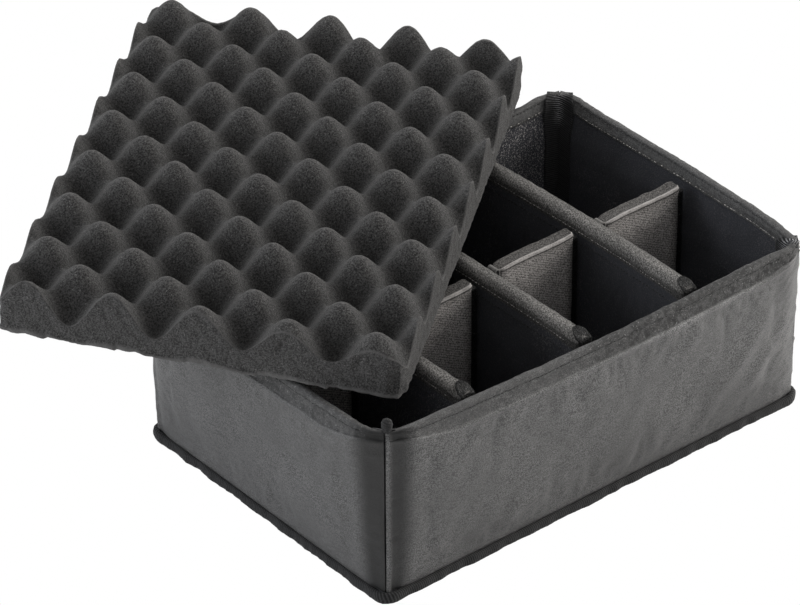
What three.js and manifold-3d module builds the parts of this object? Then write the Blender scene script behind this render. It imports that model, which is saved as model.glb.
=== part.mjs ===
// A padded divider tray for a carrying case, with its egg-crate foam lid pad laid across it.
// Lengths are millimetres and +Z is up. The origin is the middle of the tray's underside,
// +X runs along the long front wall and +Y runs from the front wall to the back wall.

import * as THREE from 'three';
import { mergeVertices } from 'three/addons/utils/BufferGeometryUtils.js';
import Module from 'manifold-3d';

const wasm = await Module();
wasm.setup();

// Tray
const seamLength = 362; // from corner seam to corner seam, along X
const seamWidth = 245; // the same along Y
const wallHeight = 127; // from a wall's foot to the crest of its rim
const clearance = 0.3; // left between two pieces that touch

// Base panel
const baseCoverThickness = 1;
const baseBoardThickness = 4.5;
const baseLiningThickness = 1.4;
const baseReach = 0.5; // how far the base passes the seam lines
const bindingThickness = 3.7;
const bindingChamfer = 1.1;
const bindingCornerRadius = 8.5;
const cornerSteps = 5;

// Walls
const innerInset = 4; // the inner face lies this far inside the seam lines
const footBulge = 2.5; // the outer face at the foot lies this far outside them
const endRound = 16; // length in which a padded panel rounds in to its seam
const rimHalfThickness = 4;
const ridgeDrop = 15; // from the crest down to the ridge below the stitched rim
const ridgeSwell = 0.5; // how far that ridge stands outside the rim
const hemHeight = 11; // how far the cover turns down on the inside
const flareHeight = 30; // from the crest down to where the inner face starts to open
const cornerDip = 2.5; // how much lower the crest is at a corner seam
const coverThickness = 0.9;
const liningThickness = 1.2;
const bellyHeightShare = 0.45;
const bellyOutShare = 0.55;
const crestAngles = [0, 45, 90, 135, 180];
const endShares = [0, 0.08, 0.3, 0.65, 1];
const bowShares = [-0.7, -0.35, 0, 0.35, 0.7];

// How far each rim leans out beyond its seam line, and how much more it bows out half way along
const frontLean = 4;
const frontBow = 6;
const rightLean = 3;
const rightBow = 2;
const backLean = 3;
const backBow = 2;
const leftLean = 7;
const leftBow = 3;

// Corner bindings
const tapeHalfThickness = 0.6;
const tapeHalfWidth = 3.6;
const tapeTail = 0.5; // how far the tape shows outside the seam
const tapeNose = 1.4;
const tapeNoseShare = 0.45;
const knobHeight = 7.7; // from the crest to the top of the tape's folded end, at the left corners
const flatFoldHeight = 1.4; // the same at the right corners, where the end is folded flat
const knobHalfWidth = 4.5;
const knobHalfDepth = 3.8;
const knobInset = 3; // the folded end's centre lies this far in from the seam
const knobAngles = [157.5, 112.5, 67.5, 22.5];
const knobHeightShares = [0.06, 0.32, 0.68, 1];
const knobWidthShares = [0.86, 1, 0.84, 0.38];

// Dividers
const dividerThickness = 11.4;
const dividerRound = 4;
const dividerRoundSteps = 3;
const dividerCoverThickness = 0.9;
const longDividerDrop = 5.3; // top of a long divider below the crest
const crossDividerDrop = 8.5;
const hookThickness = 1.6;
const crossHookReach = 8.2; // a short divider's strip is folded round its narrower end
const crossHookTopMargin = 2;
const hookMargin = 1.5; // a hook strip is this much narrower than its divider on each side
const hookTopMargin = 9;
const hookFootMargin = 7;

// Where each divider stands, as a share of the seam length or, for a cross divider, the seam width
const rightLongDividerShare = 0.238;
const middleLongDividerShare = -0.022;
const leftLongDividerShare = -0.298;
const rightCrossDividerShare = -0.049;
const rightMiddleCrossDividerShare = -0.045;
const leftMiddleCrossDividerShare = -0.065;
const leftCrossDividerShare = -0.049;

// Lid pad
const padWidth = 266;
const padLength = 391;
const padLeftLeanShare = -0.04; // its sides were cut askew: their run aside for each length
const padRightLeanShare = -0.014;
const padBackLeanShare = -0.02;
const padWeb = 14; // foam left under a hollow
const padWave = 28.5; // from a hollow up to a peak
const padTurnAngle = 37.1; // degrees from +X to the pad's long side
const padCornerLengthShare = -0.412; // its corner that hangs inside the tray, along X
const padCornerWidthShare = -0.416; // the same along Y
const eggSpacing = 57.2; // between peaks in a row across the pad
const eggRow = 27.2; // between one row and the next, which is half a pitch aside
const eggRowSlantShare = 0.052; // the foam was cut a little askew to its rows
const eggColumnSlantShare = -0.032;
const firstPeakAcrossShare = 0.285;
const firstPeakAlongShare = -0.07;
const pitchSteps = 6;
const rowSteps = 3;
const spareColumns = 1; // cut away on each side
const spareRows = 2;
const cutOverrun = 20; // what a cutting solid reaches past the foam

// Levels and places worked out from the sizes above
const baseTop = baseCoverThickness + baseBoardThickness + baseLiningThickness + 2 * clearance;
const wallFoot = baseTop + clearance;
const crest = wallFoot + wallHeight;
const coreInset = liningThickness + clearance;
const seamGap = (tapeHalfThickness + clearance) * Math.SQRT2;
const innerHalfLength = seamLength / 2 - innerInset;
const innerHalfWidth = seamWidth / 2 - innerInset;

const longDividerPlaces = {
  right: rightLongDividerShare * seamLength,
  middle: middleLongDividerShare * seamLength,
  left: leftLongDividerShare * seamLength,
};
const crossDividerPlaces = {
  right: rightCrossDividerShare * seamWidth,
  right_middle: rightMiddleCrossDividerShare * seamWidth,
  left_middle: leftMiddleCrossDividerShare * seamWidth,
  left: leftCrossDividerShare * seamWidth,
};

const walls = {
  front: { turn: 0, half: seamLength / 2, reach: seamWidth / 2, lean: frontLean, bow: frontBow },
  right: { turn: 1, half: seamWidth / 2, reach: seamLength / 2, lean: rightLean, bow: rightBow },
  back: { turn: 2, half: seamLength / 2, reach: seamWidth / 2, lean: backLean, bow: backBow },
  left: { turn: 3, half: seamWidth / 2, reach: seamLength / 2, lean: leftLean, bow: leftBow },
};

// Materials

function cloth(colour, roughness) {
  return new THREE.MeshStandardMaterial({ color: colour, roughness, metalness: 0 });
}

const materials = {
  nylon: () => cloth(0x4a4a4c, 0.5),
  velour: () => cloth(0x161618, 0.95),
  knit: () => cloth(0x3c3a39, 0.9),
  tape: () => cloth(0x232324, 0.85),
  hook: () => cloth(0x1b1b1c, 0.8),
  paddingFoam: () => cloth(0x6b6b6b, 0.95),
  board: () => cloth(0x2c2c2e, 0.7),
  eggFoam: () => cloth(0x3b3b3d, 1),
};

// General shapes

function named(name, geometry, material) {
  const mesh = new THREE.Mesh(geometry, material());
  mesh.name = name;
  return mesh;
}

// A closed mesh from points and triangles, turned so that its faces point outwards.
function closedGeometry(points, faces) {
  const cross = new THREE.Vector3();
  let volume = 0;
  for (const [a, b, c] of faces) {
    volume += points[a].dot(cross.crossVectors(points[b], points[c]));
  }
  const index = faces.flatMap(([a, b, c]) => (volume > 0 ? [a, b, c] : [a, c, b]));
  const geometry = new THREE.BufferGeometry();
  const values = points.flatMap((point) => point.toArray());
  geometry.setAttribute('position', new THREE.Float32BufferAttribute(values, 3));
  geometry.setIndex(index);
  return geometry;
}

// Two triangles for each side of each pair of neighbouring rings. From the side foldAt on, a
// ring comes back along its own line, and its squares are split along the other diagonal, so
// that the two faces of a thin sheet stay parallel.
function sideFaces(ringCount, ringSize, joined, foldAt = ringSize) {
  const faces = [];
  const pairs = joined ? ringCount : ringCount - 1;
  for (let ring = 0; ring < pairs; ring += 1) {
    const here = ring * ringSize;
    const there = ((ring + 1) % ringCount) * ringSize;
    for (let side = 0; side < ringSize; side += 1) {
      const next = (side + 1) % ringSize;
      if (side < foldAt) {
        faces.push([here + side, here + next, there + next]);
        faces.push([here + side, there + next, there + side]);
      } else {
        faces.push([here + side, here + next, there + side]);
        faces.push([here + next, there + next, there + side]);
      }
    }
  }
  return faces;
}

// A solid skinned over rings of points, with a flat outline given for each of its two ends.
function loft(rings, firstOutline, lastOutline, foldAt) {
  const size = rings[0].length;
  const faces = sideFaces(rings.length, size, false, foldAt);
  const start = (rings.length - 1) * size;
  for (const [a, b, c] of THREE.ShapeUtils.triangulateShape(firstOutline, [])) {
    faces.push([a, c, b]);
  }
  for (const [a, b, c] of THREE.ShapeUtils.triangulateShape(lastOutline, [])) {
    faces.push([start + a, start + b, start + c]);
  }
  return closedGeometry(rings.flat(), faces);
}

// Points of a rectangle with round corners, counterclockwise.
function roundedRectangle(halfX, halfY, radius, steps) {
  const points = [];
  const corners = [[1, 1], [-1, 1], [-1, -1], [1, -1]];
  corners.forEach(([sideX, sideY], corner) => {
    for (let step = 0; step <= steps; step += 1) {
      const angle = (Math.PI / 2) * (corner + step / steps);
      const x = sideX * (halfX - radius) + radius * Math.cos(angle);
      const y = sideY * (halfY - radius) + radius * Math.sin(angle);
      points.push(new THREE.Vector2(x, y));
    }
  });
  return points;
}

function slab(outline, bottom, thickness) {
  const shape = new THREE.Shape(outline);
  const geometry = new THREE.ExtrudeGeometry(shape, { depth: thickness, bevelEnabled: false });
  return geometry.translate(0, 0, bottom);
}

function toManifold(geometry) {
  const plain = geometry.clone();
  plain.deleteAttribute('normal');
  plain.deleteAttribute('uv');
  const merged = mergeVertices(plain);
  const vertProperties = new Float32Array(merged.attributes.position.array);
  const triVerts = new Uint32Array(merged.index.array);
  return new wasm.Manifold(new wasm.Mesh({ numProp: 3, vertProperties, triVerts }));
}

function fromManifold(solid) {
  const mesh = solid.getMesh();
  const geometry = new THREE.BufferGeometry();
  geometry.setAttribute('position', new THREE.Float32BufferAttribute(mesh.vertProperties, 3));
  geometry.setIndex(new THREE.Uint32BufferAttribute(mesh.triVerts, 1));
  return geometry;
}

// Base panel: an outer cloth, a stiff board, a loop lining and the binding round their edge

function basePanel() {
  const group = new THREE.Group();
  const radius = bindingCornerRadius - bindingThickness - clearance;
  const halfX = seamLength / 2 + baseReach;
  const halfY = seamWidth / 2 + baseReach;
  const outline = roundedRectangle(halfX, halfY, radius, cornerSteps);
  const boardBottom = baseCoverThickness + clearance;
  const liningBottom = boardBottom + baseBoardThickness + clearance;
  group.add(named('base_cover', slab(outline, 0, baseCoverThickness), materials.nylon));
  group.add(named('base_board', slab(outline, boardBottom, baseBoardThickness), materials.board));
  group.add(named('base_lining', slab(outline, liningBottom, baseLiningThickness), materials.velour));
  group.add(named('base_binding', bindingGeometry(), materials.tape));
  return group;
}

// A ring of tape with chamfered outer edges, as high as the base panel that it goes round.
function bindingGeometry() {
  const inner = baseReach + clearance;
  const outer = inner + bindingThickness;
  const profile = [
    [inner, 0],
    [outer - bindingChamfer, 0],
    [outer, bindingChamfer],
    [outer, baseTop - bindingChamfer],
    [outer - bindingChamfer, baseTop],
    [inner, baseTop],
  ];
  const rings = profile.map(([out, height]) => {
    const radius = bindingCornerRadius - (outer - out);
    const plan = roundedRectangle(seamLength / 2 + out, seamWidth / 2 + out, radius, cornerSteps);
    return plan.map((point) => new THREE.Vector3(point.x, point.y, height));
  });
  return closedGeometry(rings.flat(), sideFaces(rings.length, rings[0].length, true));
}

// Walls. A section is drawn with x as the distance outside the seam line and y as the height.

function rimCentre(wall, along) {
  return wall.lean + wall.bow * (1 - (along / wall.half) ** 2);
}

// How full the padding is at a distance from the corner seam: a quarter circle up to 1.
function fullness(margin) {
  const share = Math.min(margin / endRound, 1);
  return Math.sqrt(1 - (1 - share) ** 2);
}

// The wall's outline from its outer foot, over the crest, to its inner foot.
function wallOutline(wall, margin, hemLevel) {
  const full = fullness(margin);
  const centre = rimCentre(wall, wall.half - margin);
  const outer = full * (centre + rimHalfThickness);
  const inner = full * (centre - rimHalfThickness + innerInset) - innerInset;
  const middle = (outer + inner) / 2;
  const half = (outer - inner) / 2;
  const top = crest - cornerDip * (1 - full);
  const foot = full * footBulge;
  const ridge = full * (centre + rimHalfThickness + ridgeSwell);
  const belly = foot + (ridge - foot) * bellyOutShare;
  const hemShare = (hemLevel - half) / (flareHeight - half);
  const points = [
    [foot, wallFoot],
    [belly, wallFoot + wallHeight * bellyHeightShare],
    [ridge, top - ridgeDrop],
  ];
  for (const degrees of crestAngles) {
    const angle = THREE.MathUtils.degToRad(degrees);
    points.push([middle + half * Math.cos(angle), top - half + half * Math.sin(angle)]);
  }
  points.push([inner - (inner + innerInset) * hemShare, top - hemLevel]);
  points.push([-innerInset, top - flareHeight]);
  points.push([-innerInset, wallFoot]);
  return points.map(([x, y]) => new THREE.Vector2(x, y));
}

// A line moved sideways to its left. Ends on the wall's foot stay at that level.
function insetLine(points, distance) {
  const normals = points.slice(1).map((point, at) => {
    const run = point.clone().sub(points[at]).normalize();
    return new THREE.Vector2(-run.y, run.x);
  });
  return points.map((point, at) => {
    const before = normals[Math.max(at - 1, 0)];
    const after = normals[Math.min(at, normals.length - 1)];
    const isEnd = at === 0 || at === points.length - 1;
    if (isEnd && point.y === wallFoot) {
      return new THREE.Vector2(point.x + distance / before.x, point.y);
    }
    const shift = before.clone().add(after).divideScalar(1 + before.dot(after));
    return point.clone().addScaledVector(shift, distance);
  });
}

function ribbon(points, thickness) {
  return [...points, ...insetLine(points, thickness).reverse()];
}

const pointsBelowCrest = 3;
const hemPoint = pointsBelowCrest + crestAngles.length;

function coverSection(wall, margin) {
  const outline = wallOutline(wall, margin, hemHeight);
  return ribbon(outline.slice(0, hemPoint + 1), coverThickness);
}

function liningSection(wall, margin) {
  const outline = wallOutline(wall, margin, hemHeight + clearance);
  return ribbon(outline.slice(hemPoint), liningThickness);
}

function coreSection(wall, margin) {
  return insetLine(wallOutline(wall, margin, hemHeight), coreInset);
}

// Skins a wall piece from one corner seam to the other. Its ends are mitred on the inside.
function wallGeometry(wall, section) {
  const stations = [
    ...endShares.map((share) => ({ side: -1, margin: share * endRound })),
    ...bowShares.map((share) => ({
      side: Math.sign(share),
      margin: wall.half * (1 - Math.abs(share)),
    })),
    ...endShares.toReversed().map((share) => ({ side: 1, margin: share * endRound })),
  ];
  const outlines = stations.map(({ margin }) => section(wall, margin));
  const rings = stations.map(({ side, margin }, at) => {
    const mitre = Math.max(1 - margin / endRound, 0);
    return outlines[at].map((point) => {
      const along = wall.half - margin + mitre * (Math.min(point.x, 0) - seamGap);
      return new THREE.Vector3(side * along, -wall.reach - point.x, point.y);
    });
  });
  return loft(rings, outlines[0], outlines.at(-1), rings[0].length / 2);
}

// The foam fills the stretch where the panel has its full thickness.
function coreGeometry(wall) {
  const end = 1 - endRound / wall.half;
  const shares = [-end, ...bowShares, end];
  const outlines = shares.map((share) => coreSection(wall, wall.half * (1 - Math.abs(share))));
  const rings = shares.map((share, at) => outlines[at].map(
    (point) => new THREE.Vector3(share * wall.half, -wall.reach - point.x, point.y),
  ));
  return loft(rings, outlines[0], outlines.at(-1));
}

function wallPieces(name, wall) {
  const group = new THREE.Group();
  group.rotation.z = (wall.turn * Math.PI) / 2;
  group.add(named(`${name}_wall_cover`, wallGeometry(wall, coverSection), materials.nylon));
  group.add(named(`${name}_wall_foam`, coreGeometry(wall), materials.paddingFoam));
  group.add(named(`${name}_wall_lining`, wallGeometry(wall, liningSection), materials.velour));
  return group;
}

// Corner bindings: a tape folded round the inside of each corner seam, with its end folded up

const tapeInner = innerInset * Math.SQRT2;

function tapeOutline() {
  const flareStart = tapeInner + clearance * Math.SQRT2 + tapeHalfThickness;
  const flareEnd = flareStart + tapeHalfWidth - tapeHalfThickness;
  const half = [
    [-tapeTail, tapeHalfThickness],
    [flareStart, tapeHalfThickness],
    [flareEnd, tapeHalfWidth],
    [flareEnd + tapeNose, tapeHalfWidth * tapeNoseShare],
  ];
  return half.map(([x, y]) => new THREE.Vector2(x, y));
}

function knobOutline(share) {
  return knobAngles.map((degrees) => {
    const angle = THREE.MathUtils.degToRad(degrees);
    const x = knobInset + share * knobHalfDepth * Math.cos(angle);
    return new THREE.Vector2(x, share * knobHalfWidth * Math.sin(angle));
  });
}

function bothSides(half) {
  const mirrored = half.map((point) => new THREE.Vector2(point.x, -point.y));
  return [...mirrored, ...half.toReversed()];
}

function cornerBindingGeometry(foldHeight) {
  const neck = crest + clearance;
  const rise = crest + foldHeight - neck;
  const levels = [
    [wallFoot, bothSides(tapeOutline())],
    [neck, bothSides(tapeOutline())],
    ...knobHeightShares.map((share, at) => [
      neck + rise * share,
      bothSides(knobOutline(knobWidthShares[at])),
    ]),
  ];
  const rings = levels.map(([height, outline]) => outline.map(
    (point) => new THREE.Vector3(point.x, point.y, height),
  ));
  return loft(rings, levels[0][1], levels.at(-1)[1]);
}

// Corners are counted counterclockwise from the front left one.
function cornerBinding(name, corner) {
  const sideX = corner === 1 || corner === 2 ? 1 : -1;
  const sideY = corner >= 2 ? 1 : -1;
  const geometry = cornerBindingGeometry(sideX > 0 ? flatFoldHeight : knobHeight);
  const mesh = named(`${name}_corner_binding`, geometry, materials.tape);
  mesh.position.set((sideX * seamLength) / 2, (sideY * seamWidth) / 2, 0);
  mesh.rotation.z = Math.atan2(-sideY, -sideX);
  return mesh;
}

// Dividers: a foam sheet in a sleeve of loop cloth, with a strip of hooks sewn to each end.
// One is drawn along X with its middle at x = 0.

function alongX(geometry) {
  const basis = new THREE.Matrix4().makeBasis(
    new THREE.Vector3(0, 1, 0),
    new THREE.Vector3(0, 0, 1),
    new THREE.Vector3(1, 0, 0),
  );
  return geometry.applyMatrix4(basis);
}

function dividerOutline(inset, height) {
  const halfThickness = dividerThickness / 2 - inset;
  return roundedRectangle(halfThickness, height / 2 - inset, dividerRound - inset, dividerRoundSteps);
}

function dividerBody(outline, hole, length, height) {
  const shape = new THREE.Shape(outline);
  if (hole) {
    shape.holes.push(new THREE.Path(hole));
  }
  const geometry = new THREE.ExtrudeGeometry(shape, { depth: length, bevelEnabled: false });
  geometry.translate(0, wallFoot + height / 2, -length / 2);
  return alongX(geometry);
}

function divider(name, room, drop, coverMaterial, reach, topMargin) {
  const group = new THREE.Group();
  const height = crest - drop - wallFoot;
  const length = room - 2 * (reach + 2 * clearance);
  const outer = dividerOutline(0, height);
  const inner = dividerOutline(dividerCoverThickness, height);
  const core = dividerOutline(dividerCoverThickness + clearance, height);
  group.add(named(`${name}_cover`, dividerBody(outer, inner, length, height), coverMaterial));
  group.add(named(`${name}_foam`, dividerBody(core, null, length, height), materials.paddingFoam));
  for (const [end, side] of [['near', -1], ['far', 1]]) {
    const strip = new THREE.BoxGeometry(
      reach,
      dividerThickness - 2 * hookMargin,
      height - topMargin - hookFootMargin,
    );
    const middle = wallFoot + (height - topMargin + hookFootMargin) / 2;
    strip.translate(side * (length / 2 + clearance + reach / 2), 0, middle);
    group.add(named(`${name}_${end}_hook_strip`, strip, materials.hook));
  }
  return group;
}

function longDivider(name) {
  const group = divider(
    `${name}_long_divider`,
    2 * innerHalfWidth,
    longDividerDrop,
    materials.nylon,
    hookThickness,
    hookTopMargin,
  );
  group.rotation.z = Math.PI / 2;
  group.position.x = longDividerPlaces[name];
  return group;
}

// Each lane runs from one bounding face to the next, along X.
function crossDividers() {
  const half = dividerThickness / 2;
  const { right, middle, left } = longDividerPlaces;
  const lanes = {
    right: [right + half, innerHalfLength],
    right_middle: [middle + half, right - half],
    left_middle: [left + half, middle - half],
    left: [-innerHalfLength, left - half],
  };
  return Object.entries(lanes).map(([name, [start, end]]) => {
    const group = divider(
      `${name}_cross_divider`,
      end - start,
      crossDividerDrop,
      materials.knit,
      crossHookReach,
      crossHookTopMargin,
    );
    group.position.set((start + end) / 2, crossDividerPlaces[name], 0);
    return group;
  });
}

// Lid pad: egg-crate foam. Its rows of peaks are set half a pitch aside from one another.

function eggHeight(column, row) {
  const wave = Math.cos(2 * Math.PI * column) * Math.cos(Math.PI * row);
  return padWeb + (padWave * (1 + wave)) / 2;
}

function eggPoint(column, row, height) {
  const x = (firstPeakAcrossShare + column) * eggSpacing + row * eggColumnSlantShare * eggRow;
  const y = (firstPeakAlongShare + row) * eggRow + column * eggRowSlantShare * eggSpacing;
  return new THREE.Vector3(x, y, height);
}

// A foam sheet larger than the pad, sampled along its own rows, with a flat underside.
function eggSheet() {
  const columns = Math.ceil(padWidth / eggSpacing + 2 * spareColumns) * pitchSteps;
  const rows = Math.ceil(padLength / eggRow + 2 * spareRows) * rowSteps;
  const points = [];
  const faces = [];
  const at = (column, row) => row * (columns + 1) + column;
  for (let row = 0; row <= rows; row += 1) {
    for (let column = 0; column <= columns; column += 1) {
      const c = column / pitchSteps - spareColumns;
      const r = row / rowSteps - spareRows;
      points.push(eggPoint(c, r, eggHeight(c, r)));
    }
  }
  for (let row = 0; row < rows; row += 1) {
    for (let column = 0; column < columns; column += 1) {
      const [a, b] = [at(column, row), at(column + 1, row)];
      const [c, d] = [at(column + 1, row + 1), at(column, row + 1)];
      if ((column + row) % 2) {
        faces.push([a, b, c], [a, c, d]);
      } else {
        faces.push([a, b, d], [b, c, d]);
      }
    }
  }
  const rim = [];
  for (let column = 0; column < columns; column += 1) rim.push(at(column, 0));
  for (let row = 0; row < rows; row += 1) rim.push(at(columns, row));
  for (let column = columns; column > 0; column -= 1) rim.push(at(column, rows));
  for (let row = rows; row > 0; row -= 1) rim.push(at(0, row));
  const below = points.length;
  rim.forEach((index) => points.push(points[index].clone().setZ(-cutOverrun)));
  rim.forEach((index, side) => {
    const next = (side + 1) % rim.length;
    faces.push([index, below + side, below + next], [index, below + next, rim[next]]);
  });
  const outline = rim.map((index) => new THREE.Vector2(points[index].x, points[index].y));
  for (const [a, b, c] of THREE.ShapeUtils.triangulateShape(outline, [])) {
    faces.push([below + a, below + c, below + b]);
  }
  return closedGeometry(points, faces);
}

function padGeometry() {
  const block = new THREE.BoxGeometry(padWidth, padLength, padWeb + padWave + cutOverrun);
  block.translate(padWidth / 2, padLength / 2, (padWeb + padWave + cutOverrun) / 2);
  const corners = block.getAttribute('position');
  for (let index = 0; index < corners.count; index += 1) {
    const [x, y] = [corners.getX(index), corners.getY(index)];
    const lean = THREE.MathUtils.lerp(padLeftLeanShare, padRightLeanShare, x / padWidth);
    corners.setX(index, x + y * lean);
    corners.setY(index, y + ((x * y) / padLength) * padBackLeanShare);
  }
  return fromManifold(toManifold(eggSheet()).intersect(toManifold(block)));
}

// The pad's underside passes through three points: where its short side crosses the left rim,
// where its long side crosses the back rim, and the folded tape end on the left back corner.
function lidPad() {
  const heading = THREE.MathUtils.degToRad(padTurnAngle);
  const cornerX = padCornerLengthShare * seamLength;
  const cornerY = padCornerWidthShare * seamWidth;
  const level = crest + clearance;

  const leftRimX = (along) => -(seamLength / 2 + rimCentre(walls.left, along));
  const leftRimY = (x) => cornerY + (cornerX - x) / Math.tan(heading);
  const leftY = leftRimY(leftRimX(leftRimY(leftRimX(0))));
  const onLeftRim = new THREE.Vector3(leftRimX(leftY), leftY, level);

  const backRimY = (along) => seamWidth / 2 + rimCentre(walls.back, along);
  const backRimX = (y) => cornerX + (y - cornerY) / Math.tan(heading);
  const backX = backRimX(backRimY(backRimX(backRimY(0))));
  const onBackRim = new THREE.Vector3(backX, backRimY(backX), level);

  const inFromSeam = knobInset / Math.SQRT2;
  const knobX = -seamLength / 2 + inFromSeam;
  const knobY = seamWidth / 2 - inFromSeam;
  const onKnob = new THREE.Vector3(knobX, knobY, level + knobHeight);

  const plane = new THREE.Plane().setFromCoplanarPoints(onLeftRim, onBackRim, onKnob);
  const up = plane.normal.clone().multiplyScalar(Math.sign(plane.normal.z));
  const flatHeading = new THREE.Vector3(Math.cos(heading), Math.sin(heading), 0);
  const along = flatHeading.projectOnPlane(up).normalize();
  const across = new THREE.Vector3().crossVectors(along, up);
  const drop = new THREE.Vector3(cornerX, cornerY, 0).sub(onLeftRim).dot(up) / up.z;
  const corner = new THREE.Vector3(cornerX, cornerY, -drop);

  const mesh = named('lid_pad', padGeometry(), materials.eggFoam);
  mesh.quaternion.setFromRotationMatrix(new THREE.Matrix4().makeBasis(across, along, up));
  mesh.position.copy(corner.addScaledVector(across, -padWidth));
  return mesh;
}

// The whole set

const tray = new THREE.Group();
tray.add(basePanel());
for (const [name, wall] of Object.entries(walls)) {
  tray.add(wallPieces(name, wall));
}
['front_left', 'front_right', 'back_right', 'back_left'].forEach((name, corner) => {
  tray.add(cornerBinding(name, corner));
});

const dividerSet = new THREE.Group();
dividerSet.add(tray);
for (const name of Object.keys(longDividerPlaces)) {
  dividerSet.add(longDivider(name));
}
dividerSet.add(...crossDividers());
dividerSet.add(lidPad());

export default dividerSet;
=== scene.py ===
"""Dresses a padded divider tray for a carrying case, and its egg-crate lid pad, in cloth, tape and foam."""

import math

import bpy
import numpy as np
from bpy.props import FloatProperty, FloatVectorProperty, PointerProperty
from bpy.types import Operator, Panel, PropertyGroup
from mathutils import Matrix, Vector


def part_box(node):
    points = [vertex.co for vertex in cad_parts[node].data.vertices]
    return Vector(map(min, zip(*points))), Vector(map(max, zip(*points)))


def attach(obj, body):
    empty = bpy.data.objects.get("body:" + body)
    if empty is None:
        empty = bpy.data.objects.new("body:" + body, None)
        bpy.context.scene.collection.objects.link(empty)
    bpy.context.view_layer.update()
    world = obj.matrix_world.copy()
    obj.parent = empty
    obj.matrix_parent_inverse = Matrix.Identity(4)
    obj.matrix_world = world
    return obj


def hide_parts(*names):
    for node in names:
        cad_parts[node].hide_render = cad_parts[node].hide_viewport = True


bl_info = {
    "name": "Padded Divider Set",
    "version": (1, 0, 0),
    "blender": (4, 5, 0),
    "location": "3D View > Sidebar > Divider Set",
    "description": "Builds the cloth, tape and foam of a padded divider tray and its lid pad",
    "category": "Object",
}

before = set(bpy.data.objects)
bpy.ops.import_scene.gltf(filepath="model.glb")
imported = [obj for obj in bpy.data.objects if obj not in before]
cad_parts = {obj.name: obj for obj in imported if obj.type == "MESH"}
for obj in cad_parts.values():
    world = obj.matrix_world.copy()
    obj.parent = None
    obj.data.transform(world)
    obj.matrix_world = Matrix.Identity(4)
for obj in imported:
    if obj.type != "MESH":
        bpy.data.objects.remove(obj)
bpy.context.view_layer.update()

MM = 0.001
TURN = 2 * math.pi

# Levels and half sizes of the tray, read from the frame
PANEL_REACH = 0.5 * MM
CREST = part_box("front_wall_cover")[1].z
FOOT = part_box("front_wall_cover")[0].z
BASE_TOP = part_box("base_lining")[1].z
SEAM_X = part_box("base_lining")[1].x - PANEL_REACH
SEAM_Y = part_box("base_lining")[1].y - PANEL_REACH
WALL_HEIGHT = CREST - FOOT

# The walls' shape
INNER_INSET = 4 * MM
FOOT_BULGE = 2.5 * MM
END_ROUND = 22 * MM
DIP_RUN = 64 * MM
PEAK_RUN = 40 * MM
SEAM_DROP = 1.2 * MM
RIM_HALF = 4 * MM
SEAM_GAP = 0.75 * MM
FLARE = 30 * MM
CLOTH = 0.9 * MM
LINING = 1.2 * MM
HEM = 10 * MM
STATION_STEP = 1.9 * MM
CLOTH_FRAMES = 20

# Each wall: quarter turns, half length, reach from the middle, how far its rim leans out at the
# start and the end, how much more it bows out half way, how far it dips at the two corners, how
# far it turns up again right at them, and how much the cloth is gathered there
WALLS = {
    "front": {"turn": 0, "half": SEAM_X, "reach": SEAM_Y, "lean": (4 * MM, 3 * MM), "bow": 6 * MM,
              "dip": (2.5 * MM, 6.0 * MM), "peak": (0, 0), "gather": (0.35, 1.0)},
    "right": {"turn": 1, "half": SEAM_Y, "reach": SEAM_X, "lean": (-2.5 * MM, 4.5 * MM), "bow": 3 * MM,
              "dip": (5.0 * MM, -0.5 * MM), "peak": (0, 3.6 * MM), "gather": (0.6, 0.3)},
    "back": {"turn": 2, "half": SEAM_X, "reach": SEAM_Y, "lean": (3.5 * MM, 3 * MM), "bow": 2 * MM,
             "dip": (-0.5 * MM, 2.5 * MM), "peak": (3.6 * MM, 0), "gather": (0.3, 0.3)},
    "left": {"turn": 3, "half": SEAM_Y, "reach": SEAM_X, "lean": (7 * MM, 7 * MM), "bow": 3 * MM,
             "dip": (2.5 * MM, 2.5 * MM), "peak": (0, 0), "gather": (0.3, 0.35)},
}

# Each corner: its side of the tray, and the two walls that meet there with the end of each
CORNERS = {
    "front_left": (-1, -1, (("left", 1), ("front", -1))),
    "front_right": (1, -1, (("right", -1), ("front", 1))),
    "back_right": (1, 1, (("right", 1), ("back", -1))),
    "back_left": (-1, 1, (("left", -1), ("back", 1))),
}

# Tension folds in each wall's cloth: where each starts and ends, as shares of the wall's half
# length and of its height, then its half width and its height
WALL_FOLDS = {
    "front": [
        ((0.47, 0.16), (0.83, 0.75), 7.5 * MM, 1.7 * MM),
        ((0.60, 0.05), (0.88, 0.50), 7.0 * MM, 1.4 * MM),
        ((0.33, 0.64), (0.45, 0.86), 5.5 * MM, 1.0 * MM),
        ((0.19, 0.05), (0.30, 0.40), 8.0 * MM, 0.7 * MM),
        ((0.78, 0.28), (0.93, 0.62), 6.0 * MM, 0.6 * MM),
        ((-0.97, 0.62), (-0.86, 0.30), 5.0 * MM, 0.5 * MM),
    ],
    "left": [
        ((-0.55, 0.28), (-0.10, 0.52), 12 * MM, 0.8 * MM),
        ((0.25, 0.15), (0.55, 0.50), 11 * MM, 0.8 * MM),
        ((0.62, 0.55), (0.86, 0.20), 7 * MM, 0.7 * MM),
    ],
    "right": [
        ((-0.70, 0.15), (-0.30, 0.60), 9 * MM, 1.0 * MM),
        ((0.30, 0.60), (0.75, 0.20), 9 * MM, 0.9 * MM),
        ((-0.10, 0.76), (0.50, 0.80), 4 * MM, 0.4 * MM),
    ],
    "back": [
        ((-0.80, 0.14), (-0.55, 0.60), 8 * MM, 1.1 * MM),
        ((-0.10, 0.20), (0.20, 0.55), 11 * MM, 0.8 * MM),
        ((0.55, 0.60), (0.85, 0.15), 8 * MM, 1.0 * MM),
    ],
}

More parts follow.
